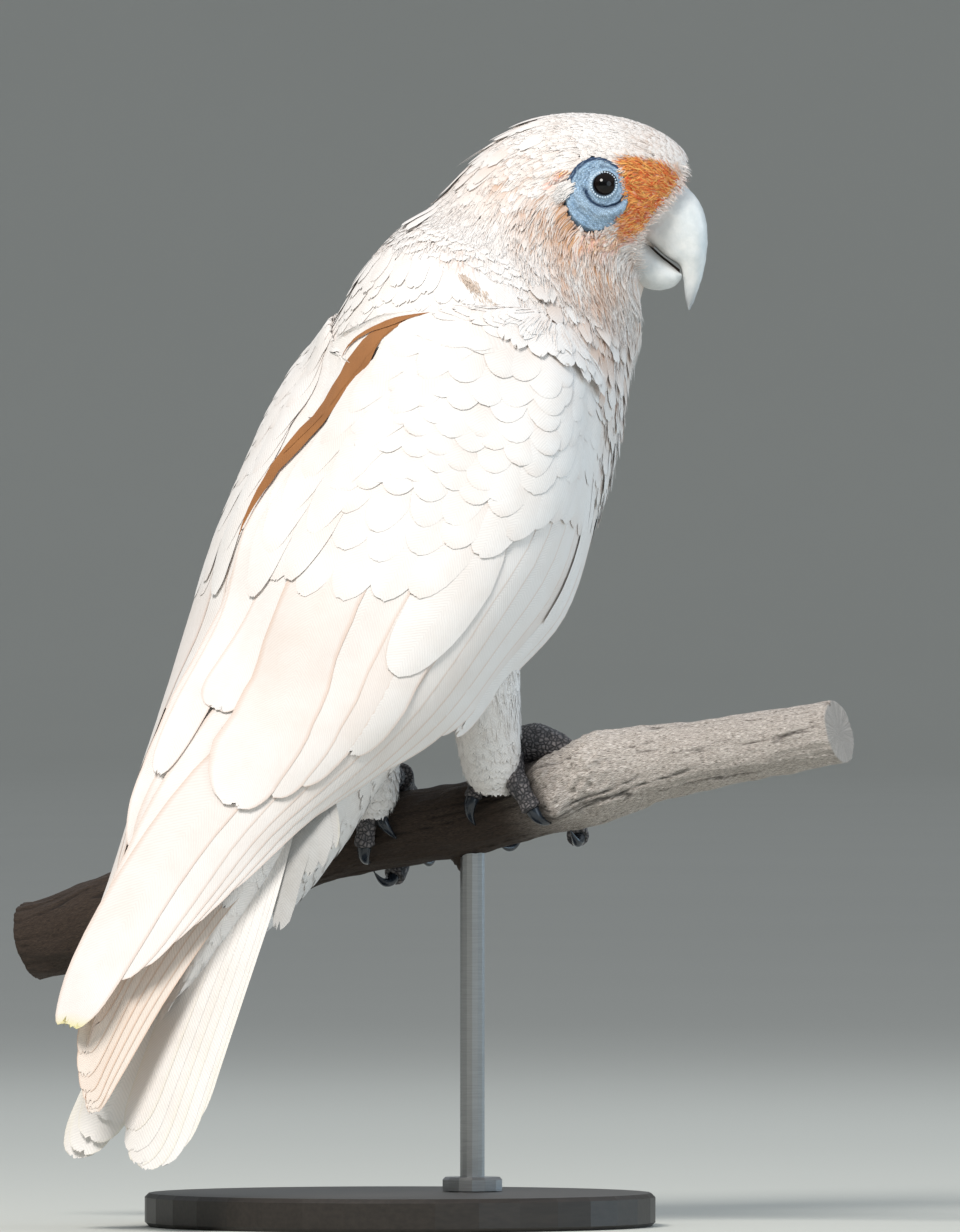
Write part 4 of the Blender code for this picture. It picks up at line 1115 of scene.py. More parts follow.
def face_marks(points):
    """How stained and how flushed the plumage is at a place."""
    ahead, up, out = head_place(points)

    def spot(along, high, length, height):
        return np.exp(-((ahead - along) / length) ** 2 - ((up - high) / height) ** 2)

    ragged = 1.3 * swirl(points, 3.5, 51)
    blush = smooth_step(1.6, -1.2, edge_distance(ahead, up, LORES, True) + ragged)
    blush *= smooth_step(3.0, 7.0, np.abs(out))
    rim = smooth_step(3.6, 0.6, edge_distance(ahead, up, RIM) + ragged)
    blush = np.maximum(blush, 0.42 * rim * smooth_step(8.0, 26.0, ahead))
    # A fleck of orange at the rear edge of the ring.
    fleck = spot(12.4, 379.4, 2.4, 1.1)
    blush = np.maximum(blush, 0.9 * fleck * smooth_step(3.0, 7.0, np.abs(out)))
    patch = np.clip(0.62 + 0.60 * swirl(points, 4.2, 52) + 0.40 * swirl(points, 12.0, 53), 0.0, 1.7)
    stain_and_shade = sum(strength * spot(*place) for *place, strength in STAINS)
    return np.clip(stain_and_shade * patch, 0, 1), blush


def gap_shade_marks(points):
    """Where painted shade, warmed orange-brown as by light through feather bases, lies in the gap between
    the folded wings.
    """
    seam = np.interp(points[..., 2], (250.0, 276.0, 299.0, 311.0, 322.0), (9.0, 8.0, 6.0, 4.0, 0.0))
    high = smooth_step(238.0, 258.0, points[..., 2]) * smooth_step(330.0, 316.0, points[..., 2])
    high = high * smooth_step(28.0, 14.0, points[..., 0])
    return high * np.exp(-((points[..., 1] - seam) / 6.5) ** 4)


def fold_shade_marks(points):
    """Where painted shade, warm in colour, lies on the plumage above the fold between neck and shoulder.
    """
    share = np.linspace(0, 1, 6)
    line, _, _, _ = body_sheet.at(9.45 - 0.6 * share, 0.72 + 0.27 * share)
    line = np.concatenate((line, line * (1, -1, 1)))
    far = np.sqrt(((points[..., None, :] - line) ** 2).sum(-1)).min(-1)
    return hill(far, 0.0, 6.5)


def woven(shape, stain_and_shade, blush, gold, random):
    """A coat's four marks: stains and painted shade, flush with a painted warm glow in the gap down the
    back, straw gold, and each feather's own number.
    """
    return np.stack([np.broadcast_to(m, shape) for m in (stain_and_shade, blush, gold, random)], -1)


def plain_marks(root, along, across, random):
    """Plain white, a little warmer at the roots."""
    shape = np.broadcast_shapes(along.shape, random.shape)
    stain_and_shade = 0.10 * random * (1 - along)
    return woven(shape, stain_and_shade, 0.0, 0.0, random)


def body_marks(root, along, across, random):
    """Head and body: the face's stains, painted shade over the neck fold, and painted shade with a warm
    glow in the gap down the back, strongest on feather bases.
    """
    stain_and_shade, blush = face_marks(root)
    # Painted shade over the fold between neck and shoulder.
    stain_and_shade = np.maximum(stain_and_shade, 0.75 * fold_shade_marks(root))
    # Painted shade down the gap between the wings, which also adds a painted warm glow to the flush.
    gap_shade = gap_shade_marks(root)
    base = smooth_step(0.95, 0.35, along)
    stain_and_shade = stain_and_shade * (0.45 + 0.55 * base) * (0.55 + 0.9 * random) + 0.14 * base * random
    blush = np.maximum(blush * (0.75 + 0.25 * base), 0.0)
    stain_and_shade = np.clip(np.maximum(stain_and_shade, 0.9 * gap_shade), 0, 1)
    return woven(along.shape, stain_and_shade, np.clip(blush + 0.35 * gap_shade, 0, 1), 0.0, random)


def wing_marks(root, along, across, random):
    """White, with a warm bloom towards the tips of the larger feathers."""
    stain_and_shade = (0.02 + 0.16 * random) * smooth_step(0.9, 0.3, along) \
        + 0.10 * smooth_step(0.85, 1.0, along) * smooth_step(0.3, 0.7, random)
    return woven(along.shape, stain_and_shade, 0.0, 0.0, random)


def long_marks(root, along, across, random):
    """The longest inner feathers: a warm bloom, and thin brownish margins that are painted shadow lines
    along their edges.
    """
    middle = np.sin(math.pi * np.clip(along, 0, 1)) ** 2
    stain_and_shade = 0.03 + 0.16 * random * middle + 0.34 * smooth_step(0.86, 1.0, across)
    return woven(along.shape, stain_and_shade, 0.0, 0.0, random)


def worn_marks(root, along, across, random):
    """The feather that ends the wing, with its worn, straw-yellow tip."""
    marks = long_marks(root, along, across, random)
    marks[..., 2] = 0.9 * smooth_step(0.93, 0.995, along)
    return marks


def primary_marks(root, along, across, random):
    """Flight feathers: cream, with thin brownish painted shadow lines along their outer margins."""
    stain_and_shade = 0.14 + 0.14 * random + 0.45 * smooth_step(0.86, 1.0, across)
    return woven(along.shape, stain_and_shade, 0.0, 0.03, random)


def tail_marks(root, along, across, random):
    """Tail: almost white, with straw-coloured margins on some of its feathers."""
    stain_and_shade = 0.04 + 0.06 * random
    gold = 0.15 * smooth_step(0.8, 1.0, across) * smooth_step(0.35, 0.8, along) * (random > 0.45)
    return woven(along.shape, stain_and_shade, 0.0, gold, random)


def pale_marks(root, along, across, random):
    """Pale bristles at the bill, flushed a little at their roots."""
    blush = 0.5 * face_marks(root)[1] * (1 - along)
    return woven(along.shape, 0.35 * (1 - along), blush, 0.0, random)


def lore_marks(root, along, across, random):
    """The orange bristles before the eye, each with its own share of the flush."""
    blush = np.clip(face_marks(root)[1] * (1.15 + 0.3 * random - 0.2 * along), 0, 1)
    return woven(along.shape, 0.25 * (1 - along), blush, 0.0, random)


# ---------------------------------------------------------------- skin


def make_skin():
    """One skin for head, neck, trunk, thighs and the arms of the wings."""
    s = np.linspace(0, FACE, 91)
    depth = np.interp(s, *zip(*COAT_DEPTH))
    grid, _ = body_grid(91, 72, depth)
    # The face steps in where the bill comes out of it, so that the bill stands clear.
    ahead, up, out = head_place(grid)
    past = past_bill_edge(ahead, up)
    least = np.interp(up, (350.0, 358.0, 366.0), (4.5, 6.5, 8.2))
    room = np.where(past > -4.0, least + 9.0 * smooth_step(0.6, -4.0, past), 99.0)
    room = np.where(ahead > 30.0, room, 99.0)
    draw = 1 - 0.40 * smooth_step(-0.5, 3.5, past) * (ahead > 30.0)
    grid = in_head(48.0 + (ahead - 48.0) * draw, 364.0 + (up - 364.0) * draw,
                   np.clip(out, -room, room) * draw)
    parts = [loft_arrays(grid, 2.0, 0.5)]
    for name in SIDES:
        grid, _ = leg_grid(name, 25, 28, 2.0)
        parts.append(loft_arrays(grid, 0.0, 0.0))
        sheet = wings[name]
        u, f = np.meshgrid(np.linspace(0.1, 7.6, 42), np.linspace(0.04, 0.985, 24), indexing="ij")
        point, normal, _, _ = sheet.at(u, f)
        edge = np.sqrt(np.sin(math.pi * (f - 0.04) / 0.945).clip(0, 1))
        taper = np.interp(u, (0.1, 1.0, 5.0, 7.6), (0.5, 1.0, 1.0, 0.25))
        outer = point - normal * 3.9
        inner = point - normal * (3.9 + 9.0 * edge * taper + 0.4)[..., None]
        parts.append(loft_arrays(np.concatenate((outer, inner[:, ::-1]), axis=1)))
    points, faces = gathered(parts)
    skin = grown_together(solid("skin", points, faces, skin_look()), 2.2, 4)
    places = mesh_points(skin)
    stain_and_shade, blush = face_marks(places)
    gap_shade = gap_shade_marks(places)
    # The skin carries the face's stains, and the painted shade and painted warm glow of the gap between
    # the wings.
    marks = np.stack((np.clip(0.05 + 0.6 * stain_and_shade + gap_shade, 0, 1), np.clip(blush + 0.5 * gap_shade, 0, 1),
                      0 * stain_and_shade, 0 * stain_and_shade + 0.5), -1)
    layer = skin.data.attributes.new("marks", "FLOAT_COLOR", "POINT")
    layer.data.foreach_set("color", marks.astype(np.float32).ravel())
    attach(skin, "root")
    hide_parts("head", "neck", "trunk", "leg_right", "leg_left")
    return skin


def surface_tree(sheet, rows=60, columns=40, low=(0.0, 0.0), high=None):
    """A sheet as triangles, ready to find the nearest place on it."""
    high = high or sheet.high
    u, v = np.meshgrid(np.linspace(low[0], high[0], rows), np.linspace(low[1], high[1], columns),
                       indexing="ij")
    point, _, _, _ = sheet.at(u, v)
    return BVHTree.FromPolygons(point.reshape(-1, 3).tolist(),
                                grid_faces(rows, columns, False).tolist())


wing_trees = [surface_tree(wings[n], low=(0.8, 0.15), high=(9.0, 0.84)) for n in SIDES]


def uncovered(points, normals, reach=26.0):
    """True where no folded wing lies close over a place of the body."""
    clear = np.ones(len(points), bool)
    for n, (p, d) in enumerate(zip(points, normals)):
        for tree in wing_trees:
            if tree.ray_cast(Vector(p - d * 3.0), Vector(d), reach)[0] is not None:
                clear[n] = False
                break
    return clear


# ---------------------------------------------------------------- coat of the head and body


def body_size(u, v):
    """Length and width of a body feather at a place."""
    length = np.interp(u, (0, 3, 6, 9, 11, 13, 15, 17, 18), (30, 26, 23, 18, 12, 8.5, 7.0, 5.0, 4.2))
    width = np.interp(u, (0, 3, 6, 9, 11, 13, 15, 17, 18), (13, 14, 15, 11, 6.5, 4.2, 3.4, 2.6, 2.2))
    front = 0.5 - 0.5 * np.cos(v)
    return length, width * (1 - 0.18 * front)


# Longer crest feathers that step down the nape: root row, tip row, place round the body,
# width, and how far the tip stands off.
CREST_STEPS = (
    (14.4, 13.25, 0.03, 7.0, 1.7), (14.2, 13.3, -0.12, 6.0, 1.4), (13.9, 12.75, 0.00, 7.0, 1.9),
    (13.8, 12.8, 0.16, 6.5, 1.5), (13.2, 12.3, -0.06, 6.0, 1.3), (12.9, 11.95, 0.08, 6.5, 1.2),
    (12.6, 11.1, 0.02, 8.0, 1.6), (12.2, 10.9, -0.14, 7.0, 1.2), (11.4, 10.0, 0.03, 8.5, 1.6),
    (11.2, 9.9, 0.16, 8.0, 1.3), (13.1, 11.8, 0.01, 0.7, 3.4), (13.0, 11.9, 0.02, 0.6, 2.6),
)


def make_head_coat():
    """Crown, cheeks, throat, crest, lores, and the bristles and tufts of the face."""
    fine = plumage("head_feather", barb=0.9, relief=0.3)
    rng = np.random.default_rng(11)

    def on_head(point):
        ahead, up, out = head_place(point)
        ring = (orbit_reach(ahead, up) < 1.0) & (np.abs(out) > 10.0)
        return ~ring & ((past_bill_edge(ahead, up) < -0.4) | (ahead < 30.0))

    def is_low(point):
        ahead, up, _ = head_place(point)
        return up < 370.0 + 0.12 * (20.0 - ahead)

    def roots(spacing, low, high, wanted, count=90000):
        return scatter(body_sheet, count, spaced(*spacing),
                       lambda u, v, p: on_head(p) & wanted(p), rng, low, high)

    def short_of_ring(point, length):
        """Feathers that lie towards the bare skin end before they cross it."""
        ahead, up, out = head_place(point)
        near = (orbit_reach(ahead, up) - 1.0) * 11.5
        above = (np.abs(out) > 8.0) & (ahead > ORBIT[0] - 4.0)
        return np.where(above, np.minimum(length, 2.2 + 1.1 * np.maximum(near, 0)), length)

    # Under layer: soft, flat feathers, small on the face and larger towards the neck.
    sizes = (10.6, 12.0, 14.0, 16.0, 18.0)
    for name, wanted in (("crown_feathers", lambda p: ~is_low(p)), ("cheek_feathers", is_low)):
        u, v, point = roots(((10.6, 14, 18), (3.0, 2.3, 1.4)), 10.6, FACE - 0.03, wanted)
        length = short_of_ring(point, np.interp(u, sizes, (14.0, 11.5, 9.0, 6.5, 4.5)))
        low = name == "cheek_feathers"
        layer = lay(body_sheet, u, v, length * rng.uniform(0.85, 1.15, len(u)),
                    np.interp(u, sizes, (7.5, 6.0, 4.8, 3.6, 2.6)) * (0.62 if low else 1.0),
                    "wisp" if low else "down", rng, -0.45, 0.02 + 0.12 * rng.random(len(u)),
                    turn=rng.normal(0, 0.12, len(u)),
                    tilt=rng.normal(0, 0.02, len(u)), marking=body_marks)
        coat(name, [layer], fine)

    # Over layer: fine barbs in small tufts, that give the head its silky grain.
    u, v, point = roots(((10.6, 14, 18), (2.9, 2.25, 1.7)), 10.7, FACE - 0.03, lambda p: ~is_low(p))
    length = short_of_ring(point, np.interp(u, sizes, (9.5, 8.5, 7.0, 5.0, 3.2)))
    coat("crown_barbs", [tufted(
        body_sheet, u, v, length, np.interp(u, sizes, (3.8, 3.2, 2.6, 2.0, 1.6)), 6, rng,
        -0.25, 0.22, turn=0.10 * swirl(point, 9.0, 61), marking=body_marks)], fine)

    # Cheeks and throat: longer barbs in loose, shaggy tufts.
    u, v, point = roots(((10.6, 14, 18), (2.7, 2.2, 1.6)), 10.7, FACE - 0.03, is_low)
    ahead, up, out = head_place(point)
    shag = smooth_step(-4.0, 18.0, ahead) * smooth_step(368.0, 350.0, up)
    length = short_of_ring(point, np.interp(u, sizes, (10.0, 9.5, 8.0, 5.5, 3.4)) * (1 + 0.3 * shag))
    coat("cheek_barbs", [tufted(
        body_sheet, u, v, length, np.interp(u, sizes, (4.2, 3.8, 3.2, 2.3, 1.6)) * (1 + 0.2 * shag),
        9, rng, -0.3, 0.35 + (0.5 + 1.3 * rng.random(len(u))) * shag,
        turn=(0.12 + 0.20 * shag) * swirl(point, 7.0, 62), gather=0.9, marking=body_marks)], fine)

    # Broader soft tufts over the throat, white over brownish bases.
    u, v, point = roots(((10.4, 14.5), (3.4, 2.6)), 10.3, 15.6,
                        lambda p: is_low(p) & (head_place(p)[0] > -2.0))
    length = short_of_ring(point, np.interp(u, (10.4, 15.0), (11.0, 7.0)))
    coat("throat_tufts", [lay(
        body_sheet, u, v, length, np.interp(u, (10.4, 15.0), (4.0, 2.6)), "wisp", rng, -0.3,
        0.35 + 0.8 * rng.random(len(u)), turn=rng.normal(0, 0.18, len(u)),
        tilt=rng.normal(0, 0.06, len(u)), marking=body_marks)], fine)

    # Fine loose barbs over those tufts, so that their edges melt into each other.
    u, v, point = roots(((10.4, 14, 18), (2.9, 2.3, 1.7)), 10.4, FACE - 0.03,
                        lambda p: is_low(p) & (head_place(p)[0] > -3.0 + 5.0 * swirl(p, 4.0, 66)))
    length = short_of_ring(point, np.interp(u, sizes, (9.5, 9.0, 7.5, 5.5, 3.6)))
    coat("throat_barbs", [tufted(
        body_sheet, u, v, length, np.interp(u, sizes, (5.2, 4.6, 3.8, 2.7, 1.9)), 9, rng, -0.1,
        0.8 + 0.9 * rng.random(len(u)), turn=0.30 * swirl(point, 5.0, 65), gather=0.6,
        marking=body_marks)], fine)

    # Long feathers of the short crest, their tips a little free of the nape.
    u, v = rng.uniform(11.9, 14.6, 46), rng.uniform(-0.75, 0.75, 46)
    crest = lay(body_sheet, u, v, rng.uniform(15.0, 21.0, 46), rng.uniform(5.5, 7.5, 46), "contour",
                rng, -0.4, rng.uniform(0.35, 1.3, 46), turn=rng.normal(0, 0.07, 46),
                marking=body_marks)
    steps = [lay_paths(body_sheet, [(np.linspace(high, low, 6), np.full(6, aside))], width, "contour",
                       rng, -0.3, rise, marking=body_marks)
             for high, low, aside, width, rise in CREST_STEPS]
    coat("crest_feathers", [crest, *steps], fine)

    # Dense orange bristles over the lores, and under the ring of bare skin.
    def on_lores(point):
        return face_marks(point)[1] > 0.18

    u, v, point = roots(((12, 18), (1.15, 1.05)), 12.5, FACE - 0.02, on_lores)
    length = short_of_ring(point, np.full(len(u), 4.6))
    coat("lore_bristles", [tufted(
        body_sheet, u, v, length, 1.4, 4, rng, 0.0, 0.7 + 1.2 * rng.random(len(u)),
        turn=0.7 * swirl(point, 6.0, 63), spread=0.2, hair=0.50, marking=lore_marks)], fine)

    # A white tuft that laps over the rear edge of the bare skin.
    def behind_ring(u, v, point):
        ahead, up, out = head_place(point)
        return (((ahead - 15.2) / 1.6) ** 2 + ((up - 374.6) / 2.6) ** 2 < 1) & (np.abs(out) > 8.0)

    u, v, point = scatter(body_sheet, 90000, even(0.55), behind_ring, rng,
                          12.5, FACE - 0.02)
    coat("ring_edge_tufts", [tufted(
        body_sheet, u, v, rng.uniform(6.0, 8.5, len(u)), 2.2, 6, rng, 0.9,
        1.6 + 0.6 * rng.random(len(u)), turn=0.15 * swirl(point, 5.0, 67), hair=0.40,
        marking=plain_marks)], fine)

    # Pale bristles that reach forward over the base of the bill.
    def at_bill(u, v, point):
        ahead, up, _ = head_place(point)
        past = past_bill_edge(ahead, up)
        return (past > -3.2) & (past < 0.6) & (ahead > 36.0)

    u, v, point = scatter(body_sheet, 60000, even(0.95), at_bill, rng,
                          12.5, FACE - 0.01)
    coat("bill_bristles", [tufted(
        body_sheet, u, v, 4.6 * rng.uniform(0.7, 1.2, len(u)), 1.2, 4, rng, -1.0,
        0.4 + 1.0 * rng.random(len(u)), turn=math.pi + 0.6 * swirl(point, 5.0, 64), spread=0.25,
        hair=0.36, marking=pale_marks)], fine)


def make_body_coat():
    """Neck, back, breast, mantle, the fold of the neck, and thighs."""
    look = plumage("body_feather", barb=1.2, relief=0.25)
    rng = np.random.default_rng(23)

    def clear_of_wings(u, v, point, length):
        _, normal, _, _ = body_sheet.at(u, v)
        tips, tip_normal, _, _ = body_sheet.at(np.maximum(u - length / 32.0, 0.0), v)
        return uncovered(point, normal) | uncovered(tips, tip_normal)

    for name, low, high, spacing, kind in (("neck_feathers", 7.4, 10.9, 0.42, "down"),
                                           ("body_feathers", 0.2, 7.6, 0.46, "contour")):
        u, v, point = scatter(body_sheet, 26000, lambda u, v, p, k=spacing: body_size(u, v)[1] * k,
                              anywhere, rng, low, high)
        length, width = body_size(u, v)
        keep = clear_of_wings(u, v, point, length)
        u, v, point, length, width = u[keep], v[keep], point[keep], length[keep], width[keep]
        batch = lay(body_sheet, u, v, length * rng.uniform(0.9, 1.12, len(u)), width * 1.1, kind, rng,
                    -0.9, 0.1 + 0.2 * rng.random(len(u)), turn=rng.normal(0, 0.06, len(u)),
                    tilt=rng.normal(0, 0.008, len(u)), marking=body_marks)
        coat(name, [batch], look)

    # Fine barbs over the neck, and looser tufts down the breast. The second draw keeps its place
    # in the row of random draws.
    u, v, point = scatter(body_sheet, 40000, spaced((4, 7, 11), (5.5, 4.2, 3.0)),
                          lambda u, v, p: (u > 7.2) | (rng.random(len(u)) < 0.0), rng, 7.2, 10.9)
    keep = clear_of_wings(u, v, point, np.full(len(u), 9.0))
    front = smooth_step(1.2, 2.4, np.minimum(v, 2 * math.pi - v))
    keep &= (front < 0.5) | (rng.random(len(u)) < 0.45)
    u, v, point, front = u[keep], v[keep], point[keep], front[keep]
    barbs = tufted(body_sheet, u, v, 10.0 + 2.0 * front, 4.2 + front, 7, rng, -0.3,
                   0.30 + (0.4 + 1.2 * rng.random(len(u))) * front, turn=0.10 * swirl(point, 10.0, 71),
                   gather=0.8, hair=0.6, marking=body_marks)
    coat("neck_barbs", [barbs], look)
    u, v, point = scatter(body_sheet, 9000, even(6.0),
                          lambda u, v, p: np.minimum(v, 2 * math.pi - v) > 1.4, rng, 4.0, 10.6)
    keep = clear_of_wings(u, v, point, np.full(len(u), 12.0))
    u, v, point = u[keep], v[keep], point[keep]
    tufts = lay(body_sheet, u, v, 13.0 + 0 * u, 7.5, "down", rng, -0.4,
                0.7 + 1.1 * rng.random(len(u)), turn=rng.normal(0, 0.16, len(u)),
                tilt=rng.normal(0, 0.05, len(u)), marking=body_marks)
    coat("breast_tufts", [tufts], look)

    # The mantle: soft feathers that run from the neck on to the tops of the wings.
    u, v, point = scatter(body_sheet, 9000, even(4.0),
                          lambda u, v, p: np.minimum(v, 2 * math.pi - v) < 1.15, rng, 7.9, 9.5)
    mantle = lay(body_sheet, u, v, 20.0 + 0 * u, 9.0, "contour", rng, -0.2,
                 1.3 + 0.4 * rng.random(len(u)), turn=rng.normal(0, 0.06, len(u)))
    coat("mantle_feathers", [mantle], look)

    # Painted shade: brownish feathers in the fold where the neck meets the shoulder, on both sides.
    fold = plumage("neck_fold_painted_shade_feather", white="DDCBBB", shade="947A64", barb=1.0, relief=0.3)
    folds = []
    for side in (1.0, -1.0):
        down = rng.random(110)
        folds.append(tufted(
            body_sheet, 9.19 - 0.54 * down + rng.normal(0, 0.075, 110) * np.sin(math.pi * down),
            side * (0.77 + 0.33 * down + rng.normal(0, 0.022, 110)), 5.5 - 2.0 * down, 1.8, 4, rng,
            0.3, 1.15 + 0.45 * rng.random(110), turn=side * 0.3, hair=0.36))
    coat("neck_fold_painted_shade_feathers", folds, fold)

    # Thighs: smooth silky feathers that hang straight down to the foot.
    for name in SIDES:
        sheet = thighs[name]
        u, v, point = scatter(sheet, 9000, spaced((0, 5), (4.4, 2.4)),
                              anywhere, rng, 0.2, 4.05)
        batch = lay(sheet, u, v, np.interp(u, (0, 3.0, 4.0), (22.0, 16.0, 10.0)),
                    np.interp(u, (0, 5), (11.0, 7.0)), "contour", rng, -1.0,
                    np.interp(u, (1.6, 2.6, 4.0), (0.15, 1.8, 3.6)) + 0.2 * rng.random(len(u)),
                    turn=rng.normal(0, 0.04, len(u)),
                    tilt=rng.normal(0, 0.01, len(u)))
        u, v, point = scatter(sheet, 9000, spaced((0, 5), (4.2, 2.4)),
                              anywhere, rng, 0.4, 4.1)
        silk = tufted(sheet, u, v, np.interp(u, (0, 3.0, 4.0), (13.0, 11.0, 9.0)), 4.0, 6, rng, -0.2,
                      np.interp(u, (1.6, 2.6, 4.0), (0.35, 1.9, 3.7)),
                      turn=rng.normal(0, 0.04, len(u)), hair=0.55)
        coat("thigh_feathers_" + name, [batch, silk], look)


# ---------------------------------------------------------------- wings and tail

# Greater coverts: where each tip lies, as (row, share of the way to the belly edge).
GREATER_TIPS = (
    (3.30, 0.93), (3.35, 0.86), (3.45, 0.79), (3.60, 0.72), (3.85, 0.65), (4.15, 0.59),
    (4.55, 0.53), (6.25, 0.54), (5.35, 0.43), (5.55, 0.34), (5.70, 0.25), (5.75, 0.16), (5.6, 0.07),
)
# Secondaries and the long inner feathers: root, middle, tip, width, height at root and tip.
# They are listed from the lowest layer up.
SECONDARIES = (
    ((1.5, 1.05), (3.7, 1.035), (5.9, 1.01), 16.0, -3.3, -3.2),
    ((0.9, 1.01), (3.2, 1.00), (5.4, 0.99), 17.0, -3.15, -3.05),
    ((1.4, 0.95), (3.8, 0.96), (6.0, 0.95), 17.0, -2.95, -2.85),
    ((4.3, 0.03), (6.9, -0.01), (8.7, 0.07), 17.0, -3.0, -2.6),
    ((4.3, 0.115), (6.9, 0.09), (9.0, 0.24), 24.0, -2.8, -2.3),
    ((2.0, 0.90), (4.2, 0.93), (6.2, 0.93), 16.0, -2.7, -2.5),
    ((2.4, 0.84), (4.9, 0.87), (7.2, 0.88), 16.0, -2.55, -2.35),
    ((2.8, 0.78), (5.6, 0.80), (8.2, 0.90), 15.0, -2.4, -2.2),
    ((3.3, 0.70), (6.5, 0.76), (9.0, 1.00), 15.0, -2.1, -2.0),
    ((3.6, 0.64), (6.9, 0.70), (9.3, 1.02), 15.0, -1.95, -1.8),
    ((3.7, 0.56), (7.1, 0.63), (9.5, 0.98), 16.0, -1.8, -1.6),
    ((3.8, 0.48), (7.2, 0.54), (9.75, 0.92), 18.0, -1.65, -1.4),
    ((3.9, 0.385), (7.3, 0.43), (9.95, 0.76), 22.0, -1.5, -1.2),
    ((3.9, 0.245), (7.4, 0.17), (9.85, 0.42), 24.0, -1.4, -1.05),
    ((3.8, 0.29), (7.6, 0.33), (10.98, 0.36), 25.0, -1.3, -0.8),
    ((3.8, 0.54), (5.7, 0.52), (7.2, 0.68), 20.0, -1.3, -0.6),
    ((3.8, 0.46), (6.2, 0.44), (7.65, 0.62), 23.0, -1.12, -0.34),
    ((3.6, 0.375), (6.3, 0.34), (7.84, 0.58), 26.0, -0.94, -0.08),
    ((3.3, 0.015), (5.8, 0.01), (7.9, 0.02), 16.0, -1.1, -0.5),
    ((3.8, 0.14), (6.0, 0.095), (7.1, 0.08), 22.0, -0.95, -0.2),
    ((3.7, 0.275), (6.3, 0.22), (8.07, 0.47), 33.0, -0.68, 0.25),
)
# Primaries, from the lowest layer up, on the same plan.
PRIMARIES = (
    ((0.00, 0.44), (2.2, 0.50), (4.97, 0.60), 12.0, -2.0, -1.4),
    ((0.08, 0.38), (2.2, 0.42), (4.87, 0.45), 12.0, -1.8, -1.2),
    ((0.16, 0.32), (2.2, 0.33), (4.72, 0.30), 12.5, -1.6, -1.0),
    ((0.24, 0.26), (2.2, 0.24), (4.52, 0.15), 13.0, -1.4, -0.8),
    ((0.32, 0.20), (2.2, 0.15), (4.27, 0.05), 13.0, -1.2, -0.6),
    ((0.40, 0.14), (2.2, 0.06), (3.97, -0.05), 13.0, -1.0, -0.4),
    ((0.48, 0.08), (2.0, 0.00), (3.60, -0.06), 13.0, -0.8, -0.2),
    ((0.56, 0.04), (1.8, -0.04), (3.20, -0.07), 13.0, -0.6, 0.0),
)
# Tail feathers, from the outermost, lowest one to the middle: root, tip, width.
TAIL_FEATHERS = (
    ((0.00, 0.68), (0.87, 0.67), 15.0), ((0.02, 0.61), (0.93, 0.61), 17.0),
    ((0.04, 0.55), (0.965, 0.54), 18.0), ((0.06, 0.48), (0.98, 0.42), 18.0),
    ((0.08, 0.42), (0.97, 0.29), 18.0), ((0.10, 0.36), (0.94, 0.16), 18.0),
    ((0.10, 0.28), (0.89, 0.03), 17.0),
)
# How far the feathers of each side of the tail are turned about their shafts.
TAIL_TURN = {"right": 0.0, "left": -0.6}
# Where the scapulars end against the bare line down the back: row, share across the wing.
BACK_EDGE = ((0.8, 0.035), (1.5, 0.055), (2.0, 0.078), (2.5, 0.075), (3.0, 0.05), (3.5, 0.025),
             (4.0, 0.006), (5.0, 0.002), (6.0, 0.0))


def sweep(root, middle, tip, count=7):
    """Places along a bent line through three given ones."""
    t = np.linspace(0, 1, count)
    shares = (2 * t - 1) * (t - 1), 4 * t * (1 - t), t * (2 * t - 1)
    return tuple(sum(w * place[k] for w, place in zip(shares, (root, middle, tip))) for k in (0, 1))


def back_edge(row):
    """Where the feathers of a wing end along the back, at rows down the wing."""
    return np.interp(row, *zip(*BACK_EDGE))


def settle(f):
    """How much lower the coverts lie near the front edge, where fewer feathers are under them."""
    return 1.9 * smooth_step(0.55, 0.93, np.asarray(f, float))


def greater_line(f):
    """The row that the greater coverts' tips reach, across the wing."""
    tips = sorted((tip[1], tip[0]) for tip in GREATER_TIPS if tip[0] < 6.0)
    return np.interp(f, *zip(*tips))


